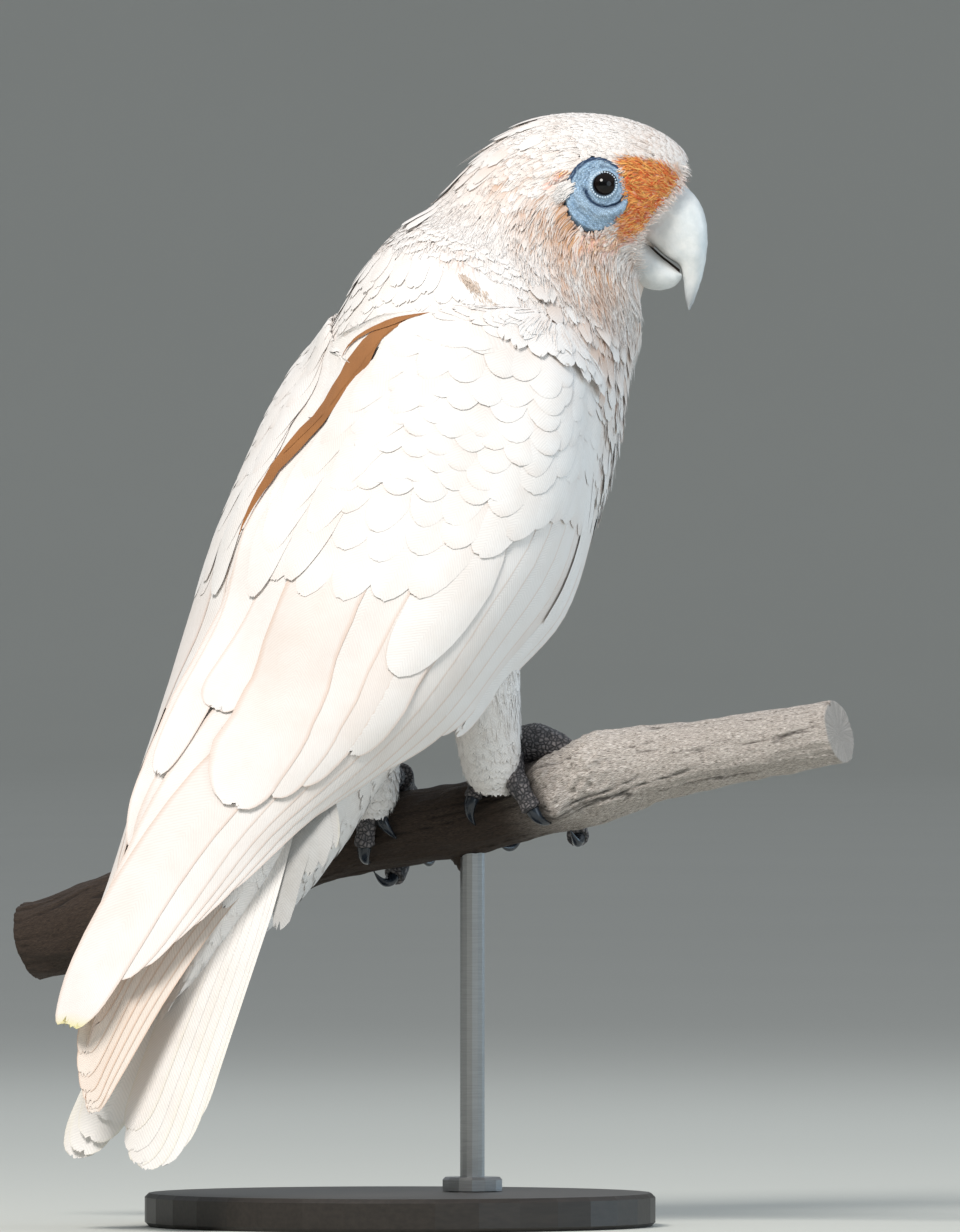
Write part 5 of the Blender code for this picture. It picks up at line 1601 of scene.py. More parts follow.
def make_wings():
    """Both folded wings, layer over layer, and the orange-brown feathers of painted shade in the gap
    between them.
    """
    look = plumage("wing_feather", barb=1.3, relief=0.2)
    cream = plumage("primary_feather", white="F7EEE6", shade="E8D7CB", barb=1.3, relief=0.25)
    for seed, name in enumerate(SIDES):
        rng = np.random.default_rng(41 + seed)
        sheet = wings[name]

        def line(root, tip, share=5):
            t = np.linspace(0, 1, share)
            return root[0] + (tip[0] - root[0]) * t, root[1] + (tip[1] - root[1]) * t ** 1.2

        longs = [lay_paths(sheet, [sweep(*places)], width, "flight", rng, low, high,
                           marking=worn_marks if places[2][0] > 10.5 else long_marks)
                 for *places, width, low, high in SECONDARIES]
        coat("secondary_feathers_" + name, longs, look)

        covers = []

        def cover(path, width, low, high):
            covers.append(lay_paths(sheet, [path], width, "covert", rng, low, high,
                                    marking=wing_marks))

        # Greater coverts.
        for n, (row, f) in enumerate(GREATER_TIPS):
            reach = 1.9 if row < 6 else 2.2
            cover(line((row - reach, f * 0.96 + 0.02), (row, f)), 22.0 if row < 6 else 25.0,
                  -0.95 - settle(f), 0.02 * n - settle(f))
        # Median coverts, in two staggered rows above them.
        for back, width, shift, high in ((0.62, 19.0, 0.0, 0.34), (1.05, 17.0, 0.5, 0.46)):
            for n in range(12):
                f = (n + 0.5 + shift) / 12.5
                row = greater_line(f) - back + rng.normal(0, 0.06)
                cover(line((row - 1.25, f), (row, f + rng.normal(0, 0.01))),
                      width * rng.uniform(0.92, 1.08), -0.7 - settle(f),
                      high + rng.uniform(-0.08, 0.08) - settle(f))

        # Lesser coverts, smaller towards the shoulder and the front edge.
        def is_lesser(u, v, point):
            return (u < greater_line(v) - 2.0) & (v > 0.10)

        u, v, point = scatter(sheet, 9000, lambda u, v, p: 6.2 - 2.4 * smooth_step(0.75, 1.0, v)
                              - 1.8 * smooth_step(1.2, 0.0, u), is_lesser, rng, 0.02, 4.2)
        width = 14.5 - 5.0 * smooth_step(0.75, 1.0, v) - 4.5 * smooth_step(1.2, 0.0, u)
        covers.append(lay(sheet, u, v, width * 1.35, width, "covert", rng,
                          -0.55 - settle(v), 0.58 + 0.14 * rng.random(len(u)) - settle(v),
                          turn=rng.normal(0, 0.10, len(u)),
                          tilt=rng.normal(0, 0.006, len(u)), marking=wing_marks))
        # Narrow stiff feathers down the front edge of the wing.
        for top, end, f, width in ((0.9, 3.3, 1.00, 9.0), (1.5, 4.0, 0.99, 10.0),
                                   (1.9, 4.35, 0.97, 10.0), (2.9, 5.3, 1.0, 10.0),
                                   (3.3, 5.8, 1.005, 10.0)):
            covers.append(lay_paths(sheet, [line((top, f), (end, f))], width, "covert", rng,
                                    -0.4 - settle(f), (0.5 if end < 4.5 else -0.5) - settle(f)))
        # Scapulars: long soft feathers that lie along the edge on the back.
        for shift, width, rows in ((0.118, 18.0, (0.3, 0.9, 1.5, 2.1, 2.7, 3.3, 3.9)),
                                   (0.040, 16.0, (0.1, 0.6, 1.1, 1.6, 2.1, 2.6, 3.1, 3.6, 4.1))):
            for row in rows:
                places = row + np.linspace(0, 1.7, 6)
                shares = (back_edge(places) if name == "right" else 0.03) + shift \
                    + rng.normal(0, 0.003) - 0.004 * np.linspace(0, 1, 6)
                cover((places, shares), width * rng.uniform(0.96, 1.04), -0.1, 0.85)
        # Feathers of the mantle, which run down between the wings.
        for shift in ((-0.02, 0.01) if name == "right" else (-0.035, -0.01, 0.015)):
            for row in np.arange(0.2, 2.3 if name == "right" else 4.2, 0.4):
                cover(sweep((row, shift), (row + 0.6, shift), (row + 1.2, shift - 0.01)), 10.0,
                      -0.7, -0.1)
        # Softer, smaller feathers over the top of the shoulder, like those of the neck.
        u, v, point = scatter(sheet, 5000, even(3.6),
                              anywhere, rng, -0.2, 0.75)
        covers.append(lay(sheet, u, v, 13.0 + 0 * u, 8.5, "down", rng, 0.2,
                          0.9 + 0.15 * rng.random(len(u)), turn=rng.normal(0, 0.08, len(u)),
                          marking=wing_marks))
        u, v, point = scatter(sheet, 5000, even(3.4),
                              anywhere, rng, -0.2, 0.5)
        covers.append(tufted(sheet, u, v, 9.0 + 0 * u, 4.0, 6, rng, 0.5, 1.2,
                             turn=0.1 * swirl(point, 9.0, 72), hair=0.55, marking=wing_marks))
        coat("wing_coverts_" + name, covers, look, ("wing_" + name,))

        blades = [lay_paths(quills[name], [sweep(*places)], width, "flight", rng, low, high,
                            marking=primary_marks)
                  for *places, width, low, high in PRIMARIES]
        coat("primary_feathers_" + name, blades, cream, ("primaries_" + name,))

    # Painted shade: orange-brown feathers, warm as if lit through their bases, in the gap between the
    # folded wings.
    gap_shade = plumage("painted_gap_shade_feather", white="A46A34", shade="6E421C", barb=1.0, relief=0.3)
    rng = np.random.default_rng(47)
    strips = []
    for rows, back, width, high in (
            (np.linspace(1.1, 5.15, 9), 0.030, 13.0, 0.15), (np.linspace(1.0, 4.0, 8), 0.032, 8.0, 0.32)):
        strips.append(lay_paths(wings["right"], [(rows, back_edge(rows) - back)], width, "sliver",
                                rng, -0.1, high, marking=plain_marks))
    rows = np.array((0.95, 1.2, 1.5, 1.9, 2.3))
    strips.append(lay_paths(wings["right"], [(rows, back_edge(rows) - np.array(
        (0.03, 0.04, 0.052, 0.07, 0.075)))], 3.0, "sliver", rng, 0.25, 0.5, marking=plain_marks))
    coat("painted_gap_shade_feathers_between_wings", strips, gap_shade)


def make_tail():
    """Both halves of the tail and the loose feathers under its root."""
    look = plumage("tail_feather", white="F9F7F4", shade="EDE7E0", barb=1.4, relief=0.3)
    # Painted shade: the feathers under the tail's root are grey.
    undertail_shade_look = plumage("undertail_painted_shade_feather", white="C2C3C2", shade="98958C", barb=1.2, relief=0.3)
    for seed, name in enumerate(SIDES):
        rng = np.random.default_rng(61 + seed)
        batches = []
        for n, (root, tip, width) in enumerate(TAIL_FEATHERS):
            middle = (0.5 * (root[0] + tip[0]), 0.42 * root[1] + 0.58 * tip[1])
            batches.append(lay_paths(tails[name], [sweep(root, middle, tip)], width, "tail", rng,
                                     -2.2 + 0.15 * n, -1.4 + 0.15 * n, tilt=TAIL_TURN[name],
                                     marking=tail_marks))
        coat("tail_feathers_" + name, batches, look, ("tail_" + name,))
        # Loose feathers under the root of the tail, painted grey for the shade they lie in.
        batches = []
        for n, (root, tip, width) in enumerate((
                ((0.0, 0.80), (0.37, 0.98), 12.0), ((0.04, 0.75), (0.27, 1.00), 10.0),
                ((0.0, 0.90), (0.22, 1.08), 10.0), ((0.04, 1.00), (0.19, 1.16), 9.0),
                ((0.0, 0.95), (0.14, 1.24), 8.0))):
            middle = (0.5 * (root[0] + tip[0]), 0.5 * (root[1] + tip[1]))
            batches.append(lay_paths(tails[name], [sweep(root, middle, tip)], width, "contour", rng,
                                     -3.0, -3.4 - 0.15 * n, marking=tail_marks))
        coat("undertail_painted_shade_feathers_" + name, batches, undertail_shade_look)


# ---------------------------------------------------------------- eyes and bill


def out_to_body(ahead, up, side):
    """How far out from the head's middle plane its surface lies, on one side."""
    ahead, up = np.broadcast_arrays(np.asarray(ahead, float), np.asarray(up, float))
    start = in_head(ahead, up, side * 70.0).reshape(-1, 3)
    way = Vector(in_head(0.0, 0.0, 0.0) - in_head(0.0, 0.0, side))
    found = []
    for point in start:
        hit = body_tree.ray_cast(Vector(point), way, 80.0)
        found.append(70.0 - hit[3] if hit[0] is not None else 4.0)
    return np.array(found).reshape(ahead.shape)


def lid_beads(name, row, count, size, look):
    """Round beads set evenly along a closed line of points, by Geometry Nodes."""
    tree = bpy.data.node_groups.new(name, "GeometryNodeTree")
    tree.interface.new_socket("Lid edge", in_out="INPUT", socket_type="NodeSocketGeometry")
    number = tree.interface.new_socket("Beads", in_out="INPUT", socket_type="NodeSocketInt")
    radius = tree.interface.new_socket("Bead size", in_out="INPUT", socket_type="NodeSocketFloat")
    tree.interface.new_socket("Beads of skin", in_out="OUTPUT", socket_type="NodeSocketGeometry")
    start, end = tree.nodes.new("NodeGroupInput"), tree.nodes.new("NodeGroupOutput")
    line = add(tree, "MeshToCurve", links={"Mesh": start.outputs["Lid edge"]})
    dots = add(tree, "ResampleCurve", links={"Curve": line, "Count": start.outputs["Beads"]})
    ball = add(tree, "MeshIcoSphere", {"Subdivisions": 2}, {"Radius": start.outputs["Bead size"]})
    set_out = add(tree, "InstanceOnPoints", links={"Points": dots, "Instance": ball})
    real = add(tree, "RealizeInstances", links={"Geometry": set_out})
    dressed = add(tree, "SetMaterial", {"Material": look}, {"Geometry": real})
    tree.links.new(dressed.outputs[0], end.inputs[0])
    mesh = bpy.data.meshes.new(name + "_line")
    mesh.from_pydata((row * MM).tolist(), [(k, (k + 1) % len(row)) for k in range(len(row))], [])
    thing = linked(name, mesh)
    nodes = thing.modifiers.new("beads", "NODES")
    nodes.node_group = tree
    nodes[number.identifier], nodes[radius.identifier] = count, size * MM
    seen = thing.evaluated_get(bpy.context.evaluated_depsgraph_get())
    thing.data = bpy.data.meshes.new_from_object(seen)
    thing.data.name = name
    thing.modifiers.clear()
    for face in thing.data.polygons:
        face.use_smooth = True
    return thing


def make_eyes():
    """Rings of bare skin, lid beads and eyeballs."""
    blue, wet, bead = bare_skin_look(), eye_look(), bead_look()
    for name, side in (("right", 1.0), ("left", -1.0)):
        # Bare skin: rings of points from the lid's edge out to the feathers.
        count, rows = 144, 46
        a = full_turn(count)
        ways = np.stack((np.cos(a), np.sin(a)), -1)
        offset = np.array(EYE) - np.array(ORBIT)
        half = np.array((ORBIT_HALF_LENGTH, ORBIT_HALF_HEIGHT)) * 1.06
        p = (ways / half) @ (offset / half)
        q = ((ways / half) ** 2).sum(-1)
        reach = (-p + np.sqrt(p * p - q * (((offset / half) ** 2).sum() - 1))) / q
        share = np.linspace(0, 1, rows)[:, None] ** 0.9
        radius = (EYE_OPENING - 0.5) + (reach - EYE_OPENING + 0.5) * share
        ahead, up = EYE[0] + radius * ways[:, 0], EYE[1] + radius * ways[:, 1]
        flat = np.stack((ahead, up, 0 * up), -1)
        lid = 1.5 * hill(radius, 4.15, 0.75)
        beads = 0.16 * hill(radius, 4.5, 0.5) * np.cos(30 * a)[None]
        around = (np.degrees(a)[None] + 360.0) % 360.0
        below = smooth_step(178.0, 206.0, around) * smooth_step(352.0, 322.0, around)
        fold_at = 7.6 + 0.9 * np.sin(np.radians(around - 250.0))
        bag = 1.7 * hill(radius - fold_at, 2.6, 2.2) * below
        groove = -1.1 * hill(radius, fold_at, 0.45) * below
        wave = swirl(flat, 5.0, 3)
        rings = 0.09 * np.sin(radius * 2 * math.pi / 1.35 + 3.5 * wave) \
            * smooth_step(5.0, 6.0, radius) * smooth_step(1.0, 0.85, share) \
            * (1 - 0.8 * below * smooth_step(8.5, 10.0, radius))
        cross = (0.18 * swirl(flat, 1.5, 5) + 0.14 * swirl(flat, 3.2, 7)) * smooth_step(5.0, 7.0, radius)
        slants = ahead * 0.75 + up * 0.66
        cross = cross + 0.12 * below * smooth_step(8.5, 10.0, radius) * smooth_step(1.0, 0.9, share) \
            * np.sin(slants * 2 * math.pi / 1.7 + 3.0 * swirl(flat, 7.0, 6))
        dome = 0.5 * np.sin(math.pi * np.clip(share, 0, 1))
        edge = -1.7 * smooth_step(0.90, 1.0, share)
        surface = out_to_body(ahead, up, side)
        height = surface + lid + beads + bag + groove + rings + cross + dome + edge
        top = in_head(ahead, up, side * height)
        inner = in_head(EYE[0] + (radius[:1] - 0.2) * ways[:, 0],
                        EYE[1] + (radius[:1] - 0.2) * ways[:, 1], side * (surface[:1] - 3.0))
        outer = in_head(ahead[-1:], up[-1:], side * (height[-1:] - 1.4))
        middle = in_head(0.5 * (ahead[:1] + ahead[-1:]), 0.5 * (up[:1] + up[-1:]),
                         side * (height[-1:] - 3.0))
        grid = np.concatenate((inner, top, outer, middle))
        faces = grid_faces(len(grid), count, True)
        ends = grid_faces(2, count, True)
        closing = np.where(ends < count, ends + (len(grid) - 1) * count, ends - count)
        # Painted shade: the first mark darkens the fold under the eye, the outer edge under the feathers,
        # the upper rim under the overhanging brow and the troughs of the creases.
        upper_rim_shadow = smooth_step(0.72, 0.84, share) * smooth_step(-0.25, 0.35, np.sin(a))[None]
        dark = np.clip(1.0 - 1.0 * hill(radius, fold_at, 0.8) * below
                       - 0.45 * smooth_step(0.90, 1.0, share) - 0.95 * upper_rim_shadow
                       - 0.35 * smooth_step(0.02, -0.12, rings)
                       - 0.30 * smooth_step(0.0, -0.14, cross), 0, 1)
        # Painted highlights: the second mark lightens the tops of the beads, the lid's ridge, the crests
        # of the creases and the top of the pouch.
        light = np.clip(0.5 * (beads > 0.05) + 0.8 * hill(radius, 4.9, 0.35)
                        + 0.25 * (rings > 0.06) + 0.25 * (bag > 0.7), 0, 1)
        black = np.clip(smooth_step(4.35, 4.0, radius), 0, 1)
        marks = np.stack((dark, light, black, 0 * dark), -1)
        marks = np.concatenate((marks[:1] * 0 + (1, 0, 1, 0), marks, marks[-1:], marks[-1:]))
        ring = solid("eye_ring_" + name, grid.reshape(-1, 3), np.concatenate((faces, closing)), blue,
                     marks=marks.reshape(-1, 4))
        face_out(ring)
        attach(ring, "root")
        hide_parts("orbit_" + name)

        # The lid's edge carries a row of small round beads of skin.
        ahead, up = EYE[0] + LID_RADIUS * ways[::4, 0], EYE[1] + LID_RADIUS * ways[::4, 1]
        row = in_head(ahead, up, side * (out_to_body(ahead, up, side) + BEAD_RISE))
        beads = lid_beads("lid_beads_" + name, row, LID_BEADS, BEAD_SIZE, bead)
        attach(beads, "root")

        # Eyeball: a globe with a slight bulge in front.
        out = float(out_to_body(EYE[0], EYE[1], side)) + 1.2
        centre = in_head(EYE[0], EYE[1], side * (out - EYEBALL_RADIUS + 1.45))
        axis = unit(in_head(0.0, 0.0, side) - in_head(0.0, 0.0, 0.0))
        polar = np.linspace(0.02, math.pi - 0.02, 48)[:, None, None]
        turn = full_turn(64)[None, :, None]
        one = unit(np.cross(axis, (0, 0, 1.0)))
        two = np.cross(axis, one)
        way = axis * np.cos(polar) + (one * np.cos(turn) + two * np.sin(turn)) * np.sin(polar)
        bulge = 0.35 * hill(polar, 0.0, 0.55)
        globe = centre + way * (EYEBALL_RADIUS + bulge)
        points, faces = loft_arrays(globe)
        marks = ring_marks(points, np.broadcast_to(smooth_step(0.36, 0.30, polar[..., 0]),
                                                   globe.shape[:2]))
        marks[-2, 0] = 1.0
        ball = solid("eyeball_" + name, points, faces, wet, marks=marks)
        face_out(ball)
        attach(ball, "root")
        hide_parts("eye_" + name)


def bill_grid(table, rows, count):
    """Rings along half of the bill: their places, how far out they are, angles and rows."""
    flat = np.array([(*r[0], *r[1], r[2]) for r in table])
    s = np.linspace(0, len(flat) - 1, rows)
    ridge_x, ridge_z, edge_x, edge_z, width = read_rows(flat, s).T
    middle = np.stack((ridge_x + edge_x, ridge_z + edge_z), 1) / 2
    reach = np.stack((ridge_x - edge_x, ridge_z - edge_z), 1) / 2
    a = full_turn(count)
    place = middle[:, None] + reach[:, None] * np.cos(a)[None, :, None]
    out = width[:, None] * np.sin(a)[None]
    return place, out, a, s


def make_bill():
    """Upper and lower bill, and the lining that closes the gape."""
    horn = horn_look()
    place, out, a, s = bill_grid(BILL_UPPER, 72, 72)
    # Below its middle the upper bill stays wide, down to its cutting edge.
    full = np.abs(np.sin(a))
    boxy = np.where(np.cos(a) < 0, np.maximum(full, 1e-6) ** -0.55, np.maximum(full, 1e-6) ** -0.08)
    out = out * np.minimum(boxy, 6.0)[None] * 0.985
    ridge = 0.25 * hill((a[None] + math.pi) % (2 * math.pi) - math.pi, 0.0, 0.22)
    up = place[..., 1] + ridge * 0.6
    grid = in_head(place[..., 0] + ridge * 0.6, up, out)
    grid = grid + (0.10 * swirl(grid, 3.0, 8) + 0.12 * swirl(grid, 9.0, 9))[..., None] \
        * unit(grid - grid.mean(1, keepdims=True))
    points, faces = loft_arrays(grid, 0.4, 0.3)
    share = np.broadcast_to((s / s.max())[:, None], out.shape)
    # Painted shade along the upper bill's cutting edge, near the gape.
    edge = np.broadcast_to(hill(a, math.pi, 0.30)[None], out.shape)
    marks = ring_marks(points, 0.75 * smooth_step(0.68, 0.98, share),
                       0.35 * edge * smooth_step(0.75, 0.5, share))
    marks[-1, 0] = 0.8
    upper = face_out(solid("upper_bill", points, faces, horn, marks=marks))
    place, out, a, s = bill_grid(BILL_LOWER, 40, 64)
    full = np.maximum(np.abs(np.sin(a)), 1e-6)
    out = out * np.minimum(np.where(np.cos(a) > 0, full ** -0.55, full ** -0.15), 6.0)[None]
    lowered = 0.5 * np.maximum(np.cos(a), 0.0)[None]
    grid = in_head(place[..., 0] - 0.3 * lowered, place[..., 1] - lowered, out * 0.985)
    grid = grid + (0.08 * swirl(grid, 3.0, 12))[..., None] * unit(grid - grid.mean(1, keepdims=True))
    points, faces = loft_arrays(grid, 0.4, 0.4)
    share = np.broadcast_to((s / s.max())[:, None], out.shape)
    # Painted shade on the top of the lower bill, where it lies under the upper bill.
    marks = ring_marks(points, 0.25 * smooth_step(0.7, 1.0, share),
                       0.5 * np.broadcast_to(smooth_step(0.35, 0.9, np.cos(a))[None], out.shape))
    lower = face_out(solid("lower_bill", points, faces, horn, marks=marks))
    place, out, a, s = bill_grid(BILL_LOWER, 24, 32)
    grid = in_head(place[..., 0], place[..., 1] + 0.3, out * 0.90)
    points, faces = loft_arrays(grid[:-2])
    lining = face_out(solid("mouth_lining", points, faces, mouth_look()))
    for thing, node in ((upper, "bill_upper"), (lower, "bill_lower")):
        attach(thing, "root")
        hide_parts(node)
    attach(lining, "root")


# ---------------------------------------------------------------- feet, branch, stand


def make_feet():
    """Scaled feet that grip the branch, and their claws."""
    scales, horn = scale_look(), claw_look()
    for name, side in SIDES.items():
        place = FOOT_PLACE[name]
        front = unit(bark_point(place, 90.0) - bark_point(place, -90.0))
        run = unit(bark_point(place + 5, 0.0) - bark_point(place - 5, 0.0))
        over = np.cross(front, run)
        over *= math.copysign(1.0, over[2])
        pad = bark_point(place, -6.0, PAD_RADII[2] + 0.35)
        polar = np.linspace(0.1, math.pi - 0.1, 20)[:, None, None]
        turn = full_turn(32)[None, :, None]
        ball = pad + front * np.cos(turn) * np.sin(polar) * PAD_RADII[0] \
            + run * np.sin(turn) * np.sin(polar) * PAD_RADII[1] + over * np.cos(polar) * PAD_RADII[2]
        parts = [loft_arrays(ball)]
        top = np.array(LEG_ROWS[-2][:3]) * (1, side, 1) + leg_shift(name) * 0.9 + (0, 0, 9.0)
        t = np.linspace(0, 1, 12)[:, None]
        parts.append(loft_arrays(tube_grid(top + (pad - top) * t, np.linspace(4.4, 4.6, 12), 20,
                                           (1.0, 0.0, 0.0))))
        if name == "right":
            # The shank leans along the branch, and its toes arch up before they grip.
            way = run * math.copysign(1.0, run[0])
            stations = np.array([pad + way * a + over * b for a, b in
                                 ((0.0, -3.0), (6.0, 0.5), (13.0, 0.5), (20.0, -3.5), (26.0, -9.0))])
            f = np.linspace(0, 4, 24)
            path = np.stack([np.interp(f, range(5), stations[:, k]) for k in range(3)], -1)
            parts.append(loft_arrays(tube_grid(path, np.interp(f, range(5), (6.5, 7.2, 7.0, 5.8, 4.4)),
                                               24, front), 1.0, 1.0))
        for toe, (start, drift, first, last, thick, thin) in TOES.items():
            def along_toe(f):
                """The toe's middle line, and its thickness with its three knuckles."""
                thickness = (thick + (thin - thick) * f) * (1.0 + 0.10 * np.cos(2 * math.pi * 3 * f))
                return bark_point(place + start - drift * f * side, first + (last - first) * f,
                                  thickness + TOE_GAP), thickness

            f = np.linspace(0, 1, 60)
            path, radius = along_toe(f)
            scute = 1.0 + 0.035 * np.abs(np.sin(math.pi * 15 * f)) - 0.02
            parts.append(loft_arrays(tube_grid(path, radius * scute, 26, run), 1.0, 1.0))
            steps, _ = along_toe(np.linspace(0, 1, 7))
            ahead = unit(steps[-1] - steps[-2])
            centre = bark_point(place + start - drift * side, last, -40.0)
            inward = unit(centre - steps[-1])
            root = steps[-1] + ahead * 0.6
            f = np.linspace(0, 1, 28)
            far = (f * CLAW_LENGTH)[:, None]
            curve = root + ahead * far * (1 - 0.38 * f[:, None]) + inward * 0.72 * far * f[:, None]
            radii = np.maximum(CLAW_RADIUS * (1 - f) ** 0.7, 0.22)
            points, faces = loft_arrays(tube_grid(curve, radii, 20, run, 1.15), 0.3, 0.2)
            claw = face_out(solid(f"claw_of_{name}_{toe}", points, faces, horn))
            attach(claw, "root")
            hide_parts(f"claw_{name}_{toe}")
        points, faces = gathered(parts)
        foot = grown_together(solid("scaly_foot_" + name, points, faces, scales), 0.55, 2)
        # Pebbled scales, raised in the skin itself.
        places, out = mesh_points(foot), mesh_normals(foot)
        move_points(foot, places + out * (0.16 * np.abs(swirl(places, 2.6, 4)))[:, None])
        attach(foot, "root")
        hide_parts("foot_" + name)


def make_branch():
    """The cut length of branch, with cracks, ridges and its broken twig and knots."""
    wood = bark_look()
    low, high = BRANCH_STATIONS[0][0], BRANCH_STATIONS[-1][0]
    rows, count = 420, 144
    along = np.linspace(low, high, rows)[:, None] + np.zeros((1, count))
    angle = np.linspace(0, 360, count, endpoint=False)[None] + np.zeros((rows, 1))
    base = bark_point(along, angle)
    wrap = np.stack((12.0 * np.cos(np.radians(angle)), 12.0 * np.sin(np.radians(angle)),
                     along / 9.0), -1)
    fibres = swirl(wrap, 2.4, 21) + 0.6 * swirl(wrap, 1.3, 22)
    cracks = np.clip(1.0 - np.abs(swirl(wrap * (1, 1, 0.8), 5.5, 23)) / 0.10, 0, 1) \
        * np.clip(0.4 + swirl(wrap, 9.0, 24), 0, 1)
    knot = hill(along, 52.0, 14.0) * hill((angle - 290.0 + 180) % 360 - 180, 0.0, 60.0)
    relief = 0.22 * fibres - 1.1 * cracks + 0.5 * swirl(base, 14.0, 25) + knot * swirl(base, 4.0, 26)
    grid = bark_point(along, angle, relief - 0.3)
    # Sawn ends, closed by three smaller rings.
    caps = []
    for ring in (grid[:1], grid[-1:]):
        middle = ring.mean(1, keepdims=True)
        caps.append([middle + (ring - middle) * f for f in (0.96, 0.66, 0.33)])
    grid = np.concatenate((caps[0][2], caps[0][1], caps[0][0], grid, *caps[1]))
    points, faces = loft_arrays(grid)
    total = len(grid)
    around = np.broadcast_to(np.linspace(0, 1, count, endpoint=False)[None], (total, count))
    far = np.concatenate((np.full(3, low), along[:, 0], np.full(3, high)))[:, None] / 100.0
    uv = np.zeros((len(points), 2))
    uv[:total * count, 0] = (around * 0.9).ravel()
    uv[:total * count, 1] = np.broadcast_to(far, (total, count)).ravel()
    uncracked = np.zeros((3, count))
    # The second mark is a painted shadow of the bird, darkening the branch from under the bird to its far
    # end.
    marks = ring_marks(points, 0.85 * np.concatenate((uncracked, cracks, uncracked)),
                       smooth_step(56.0, 18.0, np.broadcast_to(far * 100, (total, count))))
    (place, turn), length, radius = TWIG
    start, end = bark_point(place, turn, -6.0), bark_point(place + 8.0, turn, length)
    steps, ring = 24, 28
    t = np.linspace(0, 1, steps)
    twig = tube_grid(start + (end - start) * t[:, None], radius * np.interp(
        t, (0, 0.5, 0.85, 1), (1.0, 0.9, 1.1, 0.6)), ring, (1.0, 0.0, 0.0))
    twig = twig + (0.35 * swirl(twig, 2.2, 31))[..., None] * unit(twig - twig.mean(1, keepdims=True))
    twig_points, twig_faces = loft_arrays(twig, 0.0, 0.6)
    twig_uv = np.zeros((len(twig_points), 2))
    twig_uv[:steps * ring, 0] = np.tile(np.linspace(0, 0.2, ring), steps)
    twig_uv[:steps * ring, 1] = np.repeat(t * 0.18, ring)
    twig_marks = np.zeros((len(twig_points), 4))
    # The twig lies in the painted shadow.
    twig_marks[:, 1] = 1.0
    faces = np.concatenate((faces, twig_faces + len(points)))
    points = np.concatenate((points, twig_points))
    branch = solid("weathered_branch", points, faces, wood,
                   {"grain": np.concatenate((uv, twig_uv))}, np.concatenate((marks, twig_marks)))
    face_out(branch)
    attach(branch, "root")
    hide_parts("perch")


def dress_stand():
    """The stand keeps its solids, in the looks of stained wood and brushed steel."""
    for node, look in (("stand_base", base_look()), ("stand_rod", rod_look())):
        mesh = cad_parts[node].data
        mesh.materials.clear()
        mesh.materials.append(look)


# ---------------------------------------------------------------- studio

VIEW_AZIMUTH = -38.0
VIEW_DISTANCE = 8.0
FRAME_HEIGHT, SENSOR_WIDTH = 443.5, 36.0
FRAME_MIDDLE = (28.8, 219.6)
FLOOR_REACH, COVE_RADIUS, WALL_TOP = 24000.0, 8000.0, 14000.0


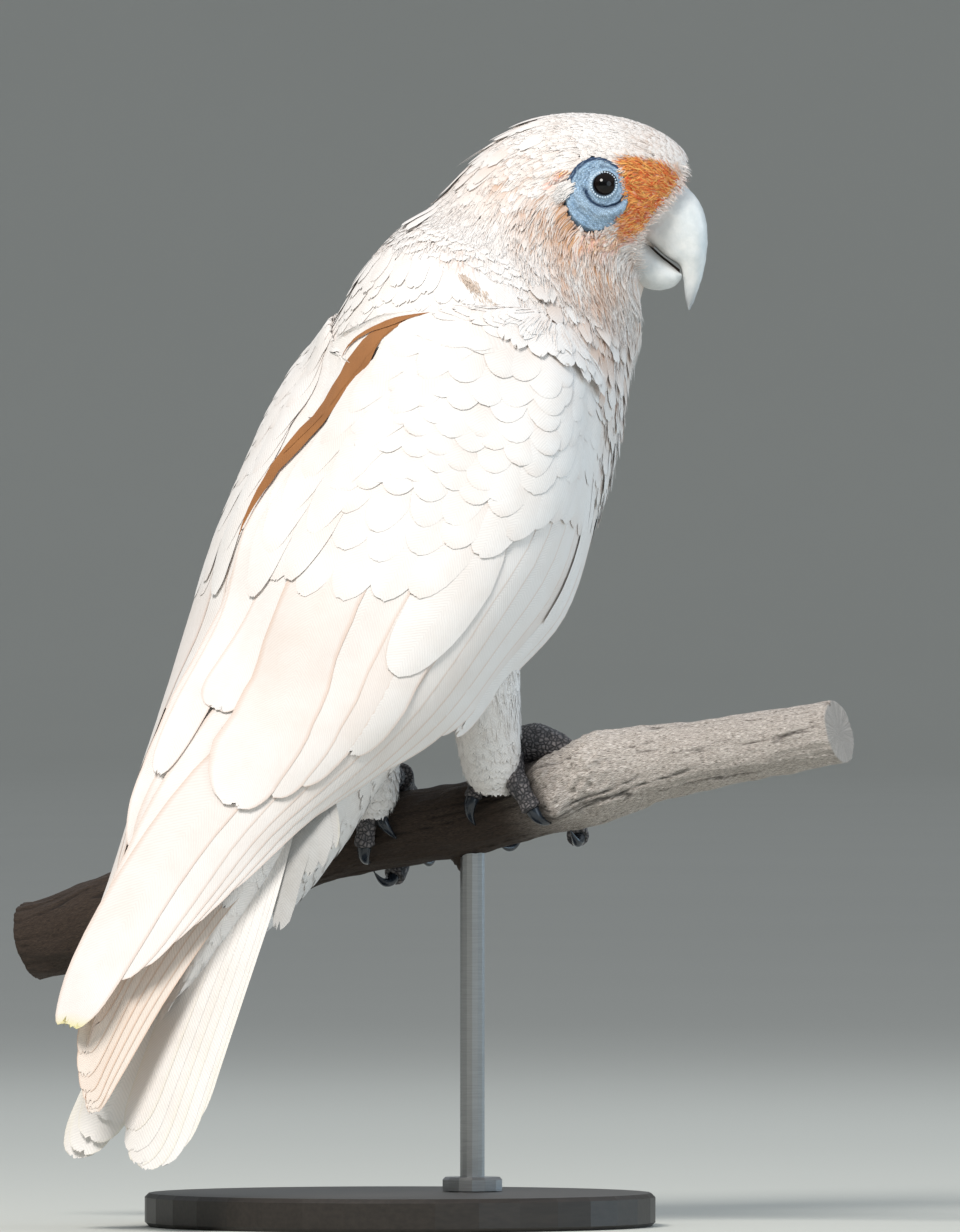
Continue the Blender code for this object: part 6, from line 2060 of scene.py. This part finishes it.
def make_studio():
    """Floor, lamps and camera."""
    # A round floor that sweeps up into a wall on every side, like a paper cove.
    turn = math.radians(VIEW_AZIMUTH)
    back = np.array((math.sin(turn), -math.cos(turn), 0.0))
    right = np.array((math.cos(turn), math.sin(turn), 0.0))
    profile = [(60.0, 0.0), (800.0, 0.0), (3600.0, 0.0), (9500.0, 0.0), (FLOOR_REACH, 0.0)]
    for k in range(1, 25):
        a = math.pi / 2 * k / 24
        profile.append((FLOOR_REACH + COVE_RADIUS * math.sin(a), COVE_RADIUS * (1 - math.cos(a))))
    profile.append((FLOOR_REACH + COVE_RADIUS, WALL_TOP))
    around = full_turn(96)
    rows = np.array([[(far * math.cos(a), far * math.sin(a), up) for a in around]
                     for far, up in profile])
    points = np.concatenate((rows.reshape(-1, 3), np.zeros((1, 3))))
    k = np.arange(0, 96, 2)
    hub = np.stack((np.full(48, len(points) - 1), k, k + 1, (k + 2) % 96), -1)
    floor = solid("studio_floor", points,
                  np.concatenate((grid_faces(len(profile), 96, True)[:, ::-1], hub)), floor_look())

    def lamp(name, way, distance, size, power, tint):
        light = bpy.data.lights.new(name, "AREA")
        light.shape, light.size, light.energy, light.color = "DISK", size, power, tint
        thing = linked(name, light)
        aim = Vector((-0.02, 0.0, 0.24))
        thing.location = aim + Vector(way).normalized() * distance
        thing.rotation_euler = (aim - thing.location).to_track_quat("-Z", "Y").to_euler()

    up = np.array((0.0, 0.0, 1.0))
    # A warm soft sun from above, and cool light from the sides like that of an open sky.
    lamp("key", -0.40 * right + 0.95 * up + 0.85 * back, 2.6, 1.0, 62.0, (1.0, 0.97, 0.93))
    lamp("fill", 0.85 * right + 0.25 * up + 0.75 * back, 3.0, 2.0, 18.0, (0.74, 0.88, 1.0))
    lamp("side", right + 0.15 * up - 0.30 * back, 2.8, 1.6, 17.0, (0.58, 0.80, 1.0))
    lamp("rim", 0.1 * right + 0.9 * up - 1.0 * back, 2.8, 1.2, 12.0, (0.9, 0.95, 1.0))
    world = bpy.data.worlds.new("studio")
    bpy.context.scene.world = world
    world.use_nodes = True
    sky = world.node_tree.nodes["Background"].inputs
    sky["Color"].default_value, sky["Strength"].default_value = (0.72, 0.76, 0.82, 1.0), 0.54
    bpy.context.scene.view_settings.view_transform = "Standard"

    # Camera: level, in profile to the head, at the height of the middle of the frame.
    lens = bpy.data.cameras.new("camera")
    camera = linked("camera", lens)
    middle = right * FRAME_MIDDLE[0] + up * FRAME_MIDDLE[1]
    camera.location = Vector((middle * MM + back * VIEW_DISTANCE).tolist())
    camera.rotation_euler = Vector((-back).tolist()).to_track_quat("-Z", "Y").to_euler()
    lens.sensor_fit = "AUTO"
    lens.sensor_width = SENSOR_WIDTH
    lens.lens = SENSOR_WIDTH * VIEW_DISTANCE / (FRAME_HEIGHT * MM)
    bpy.context.scene.camera = camera


# ---------------------------------------------------------------- the whole thing


make_studio()
make_skin()
make_head_coat()
make_body_coat()
make_wings()
make_tail()
make_eyes()
make_bill()
make_feet()
make_branch()
dress_stand()
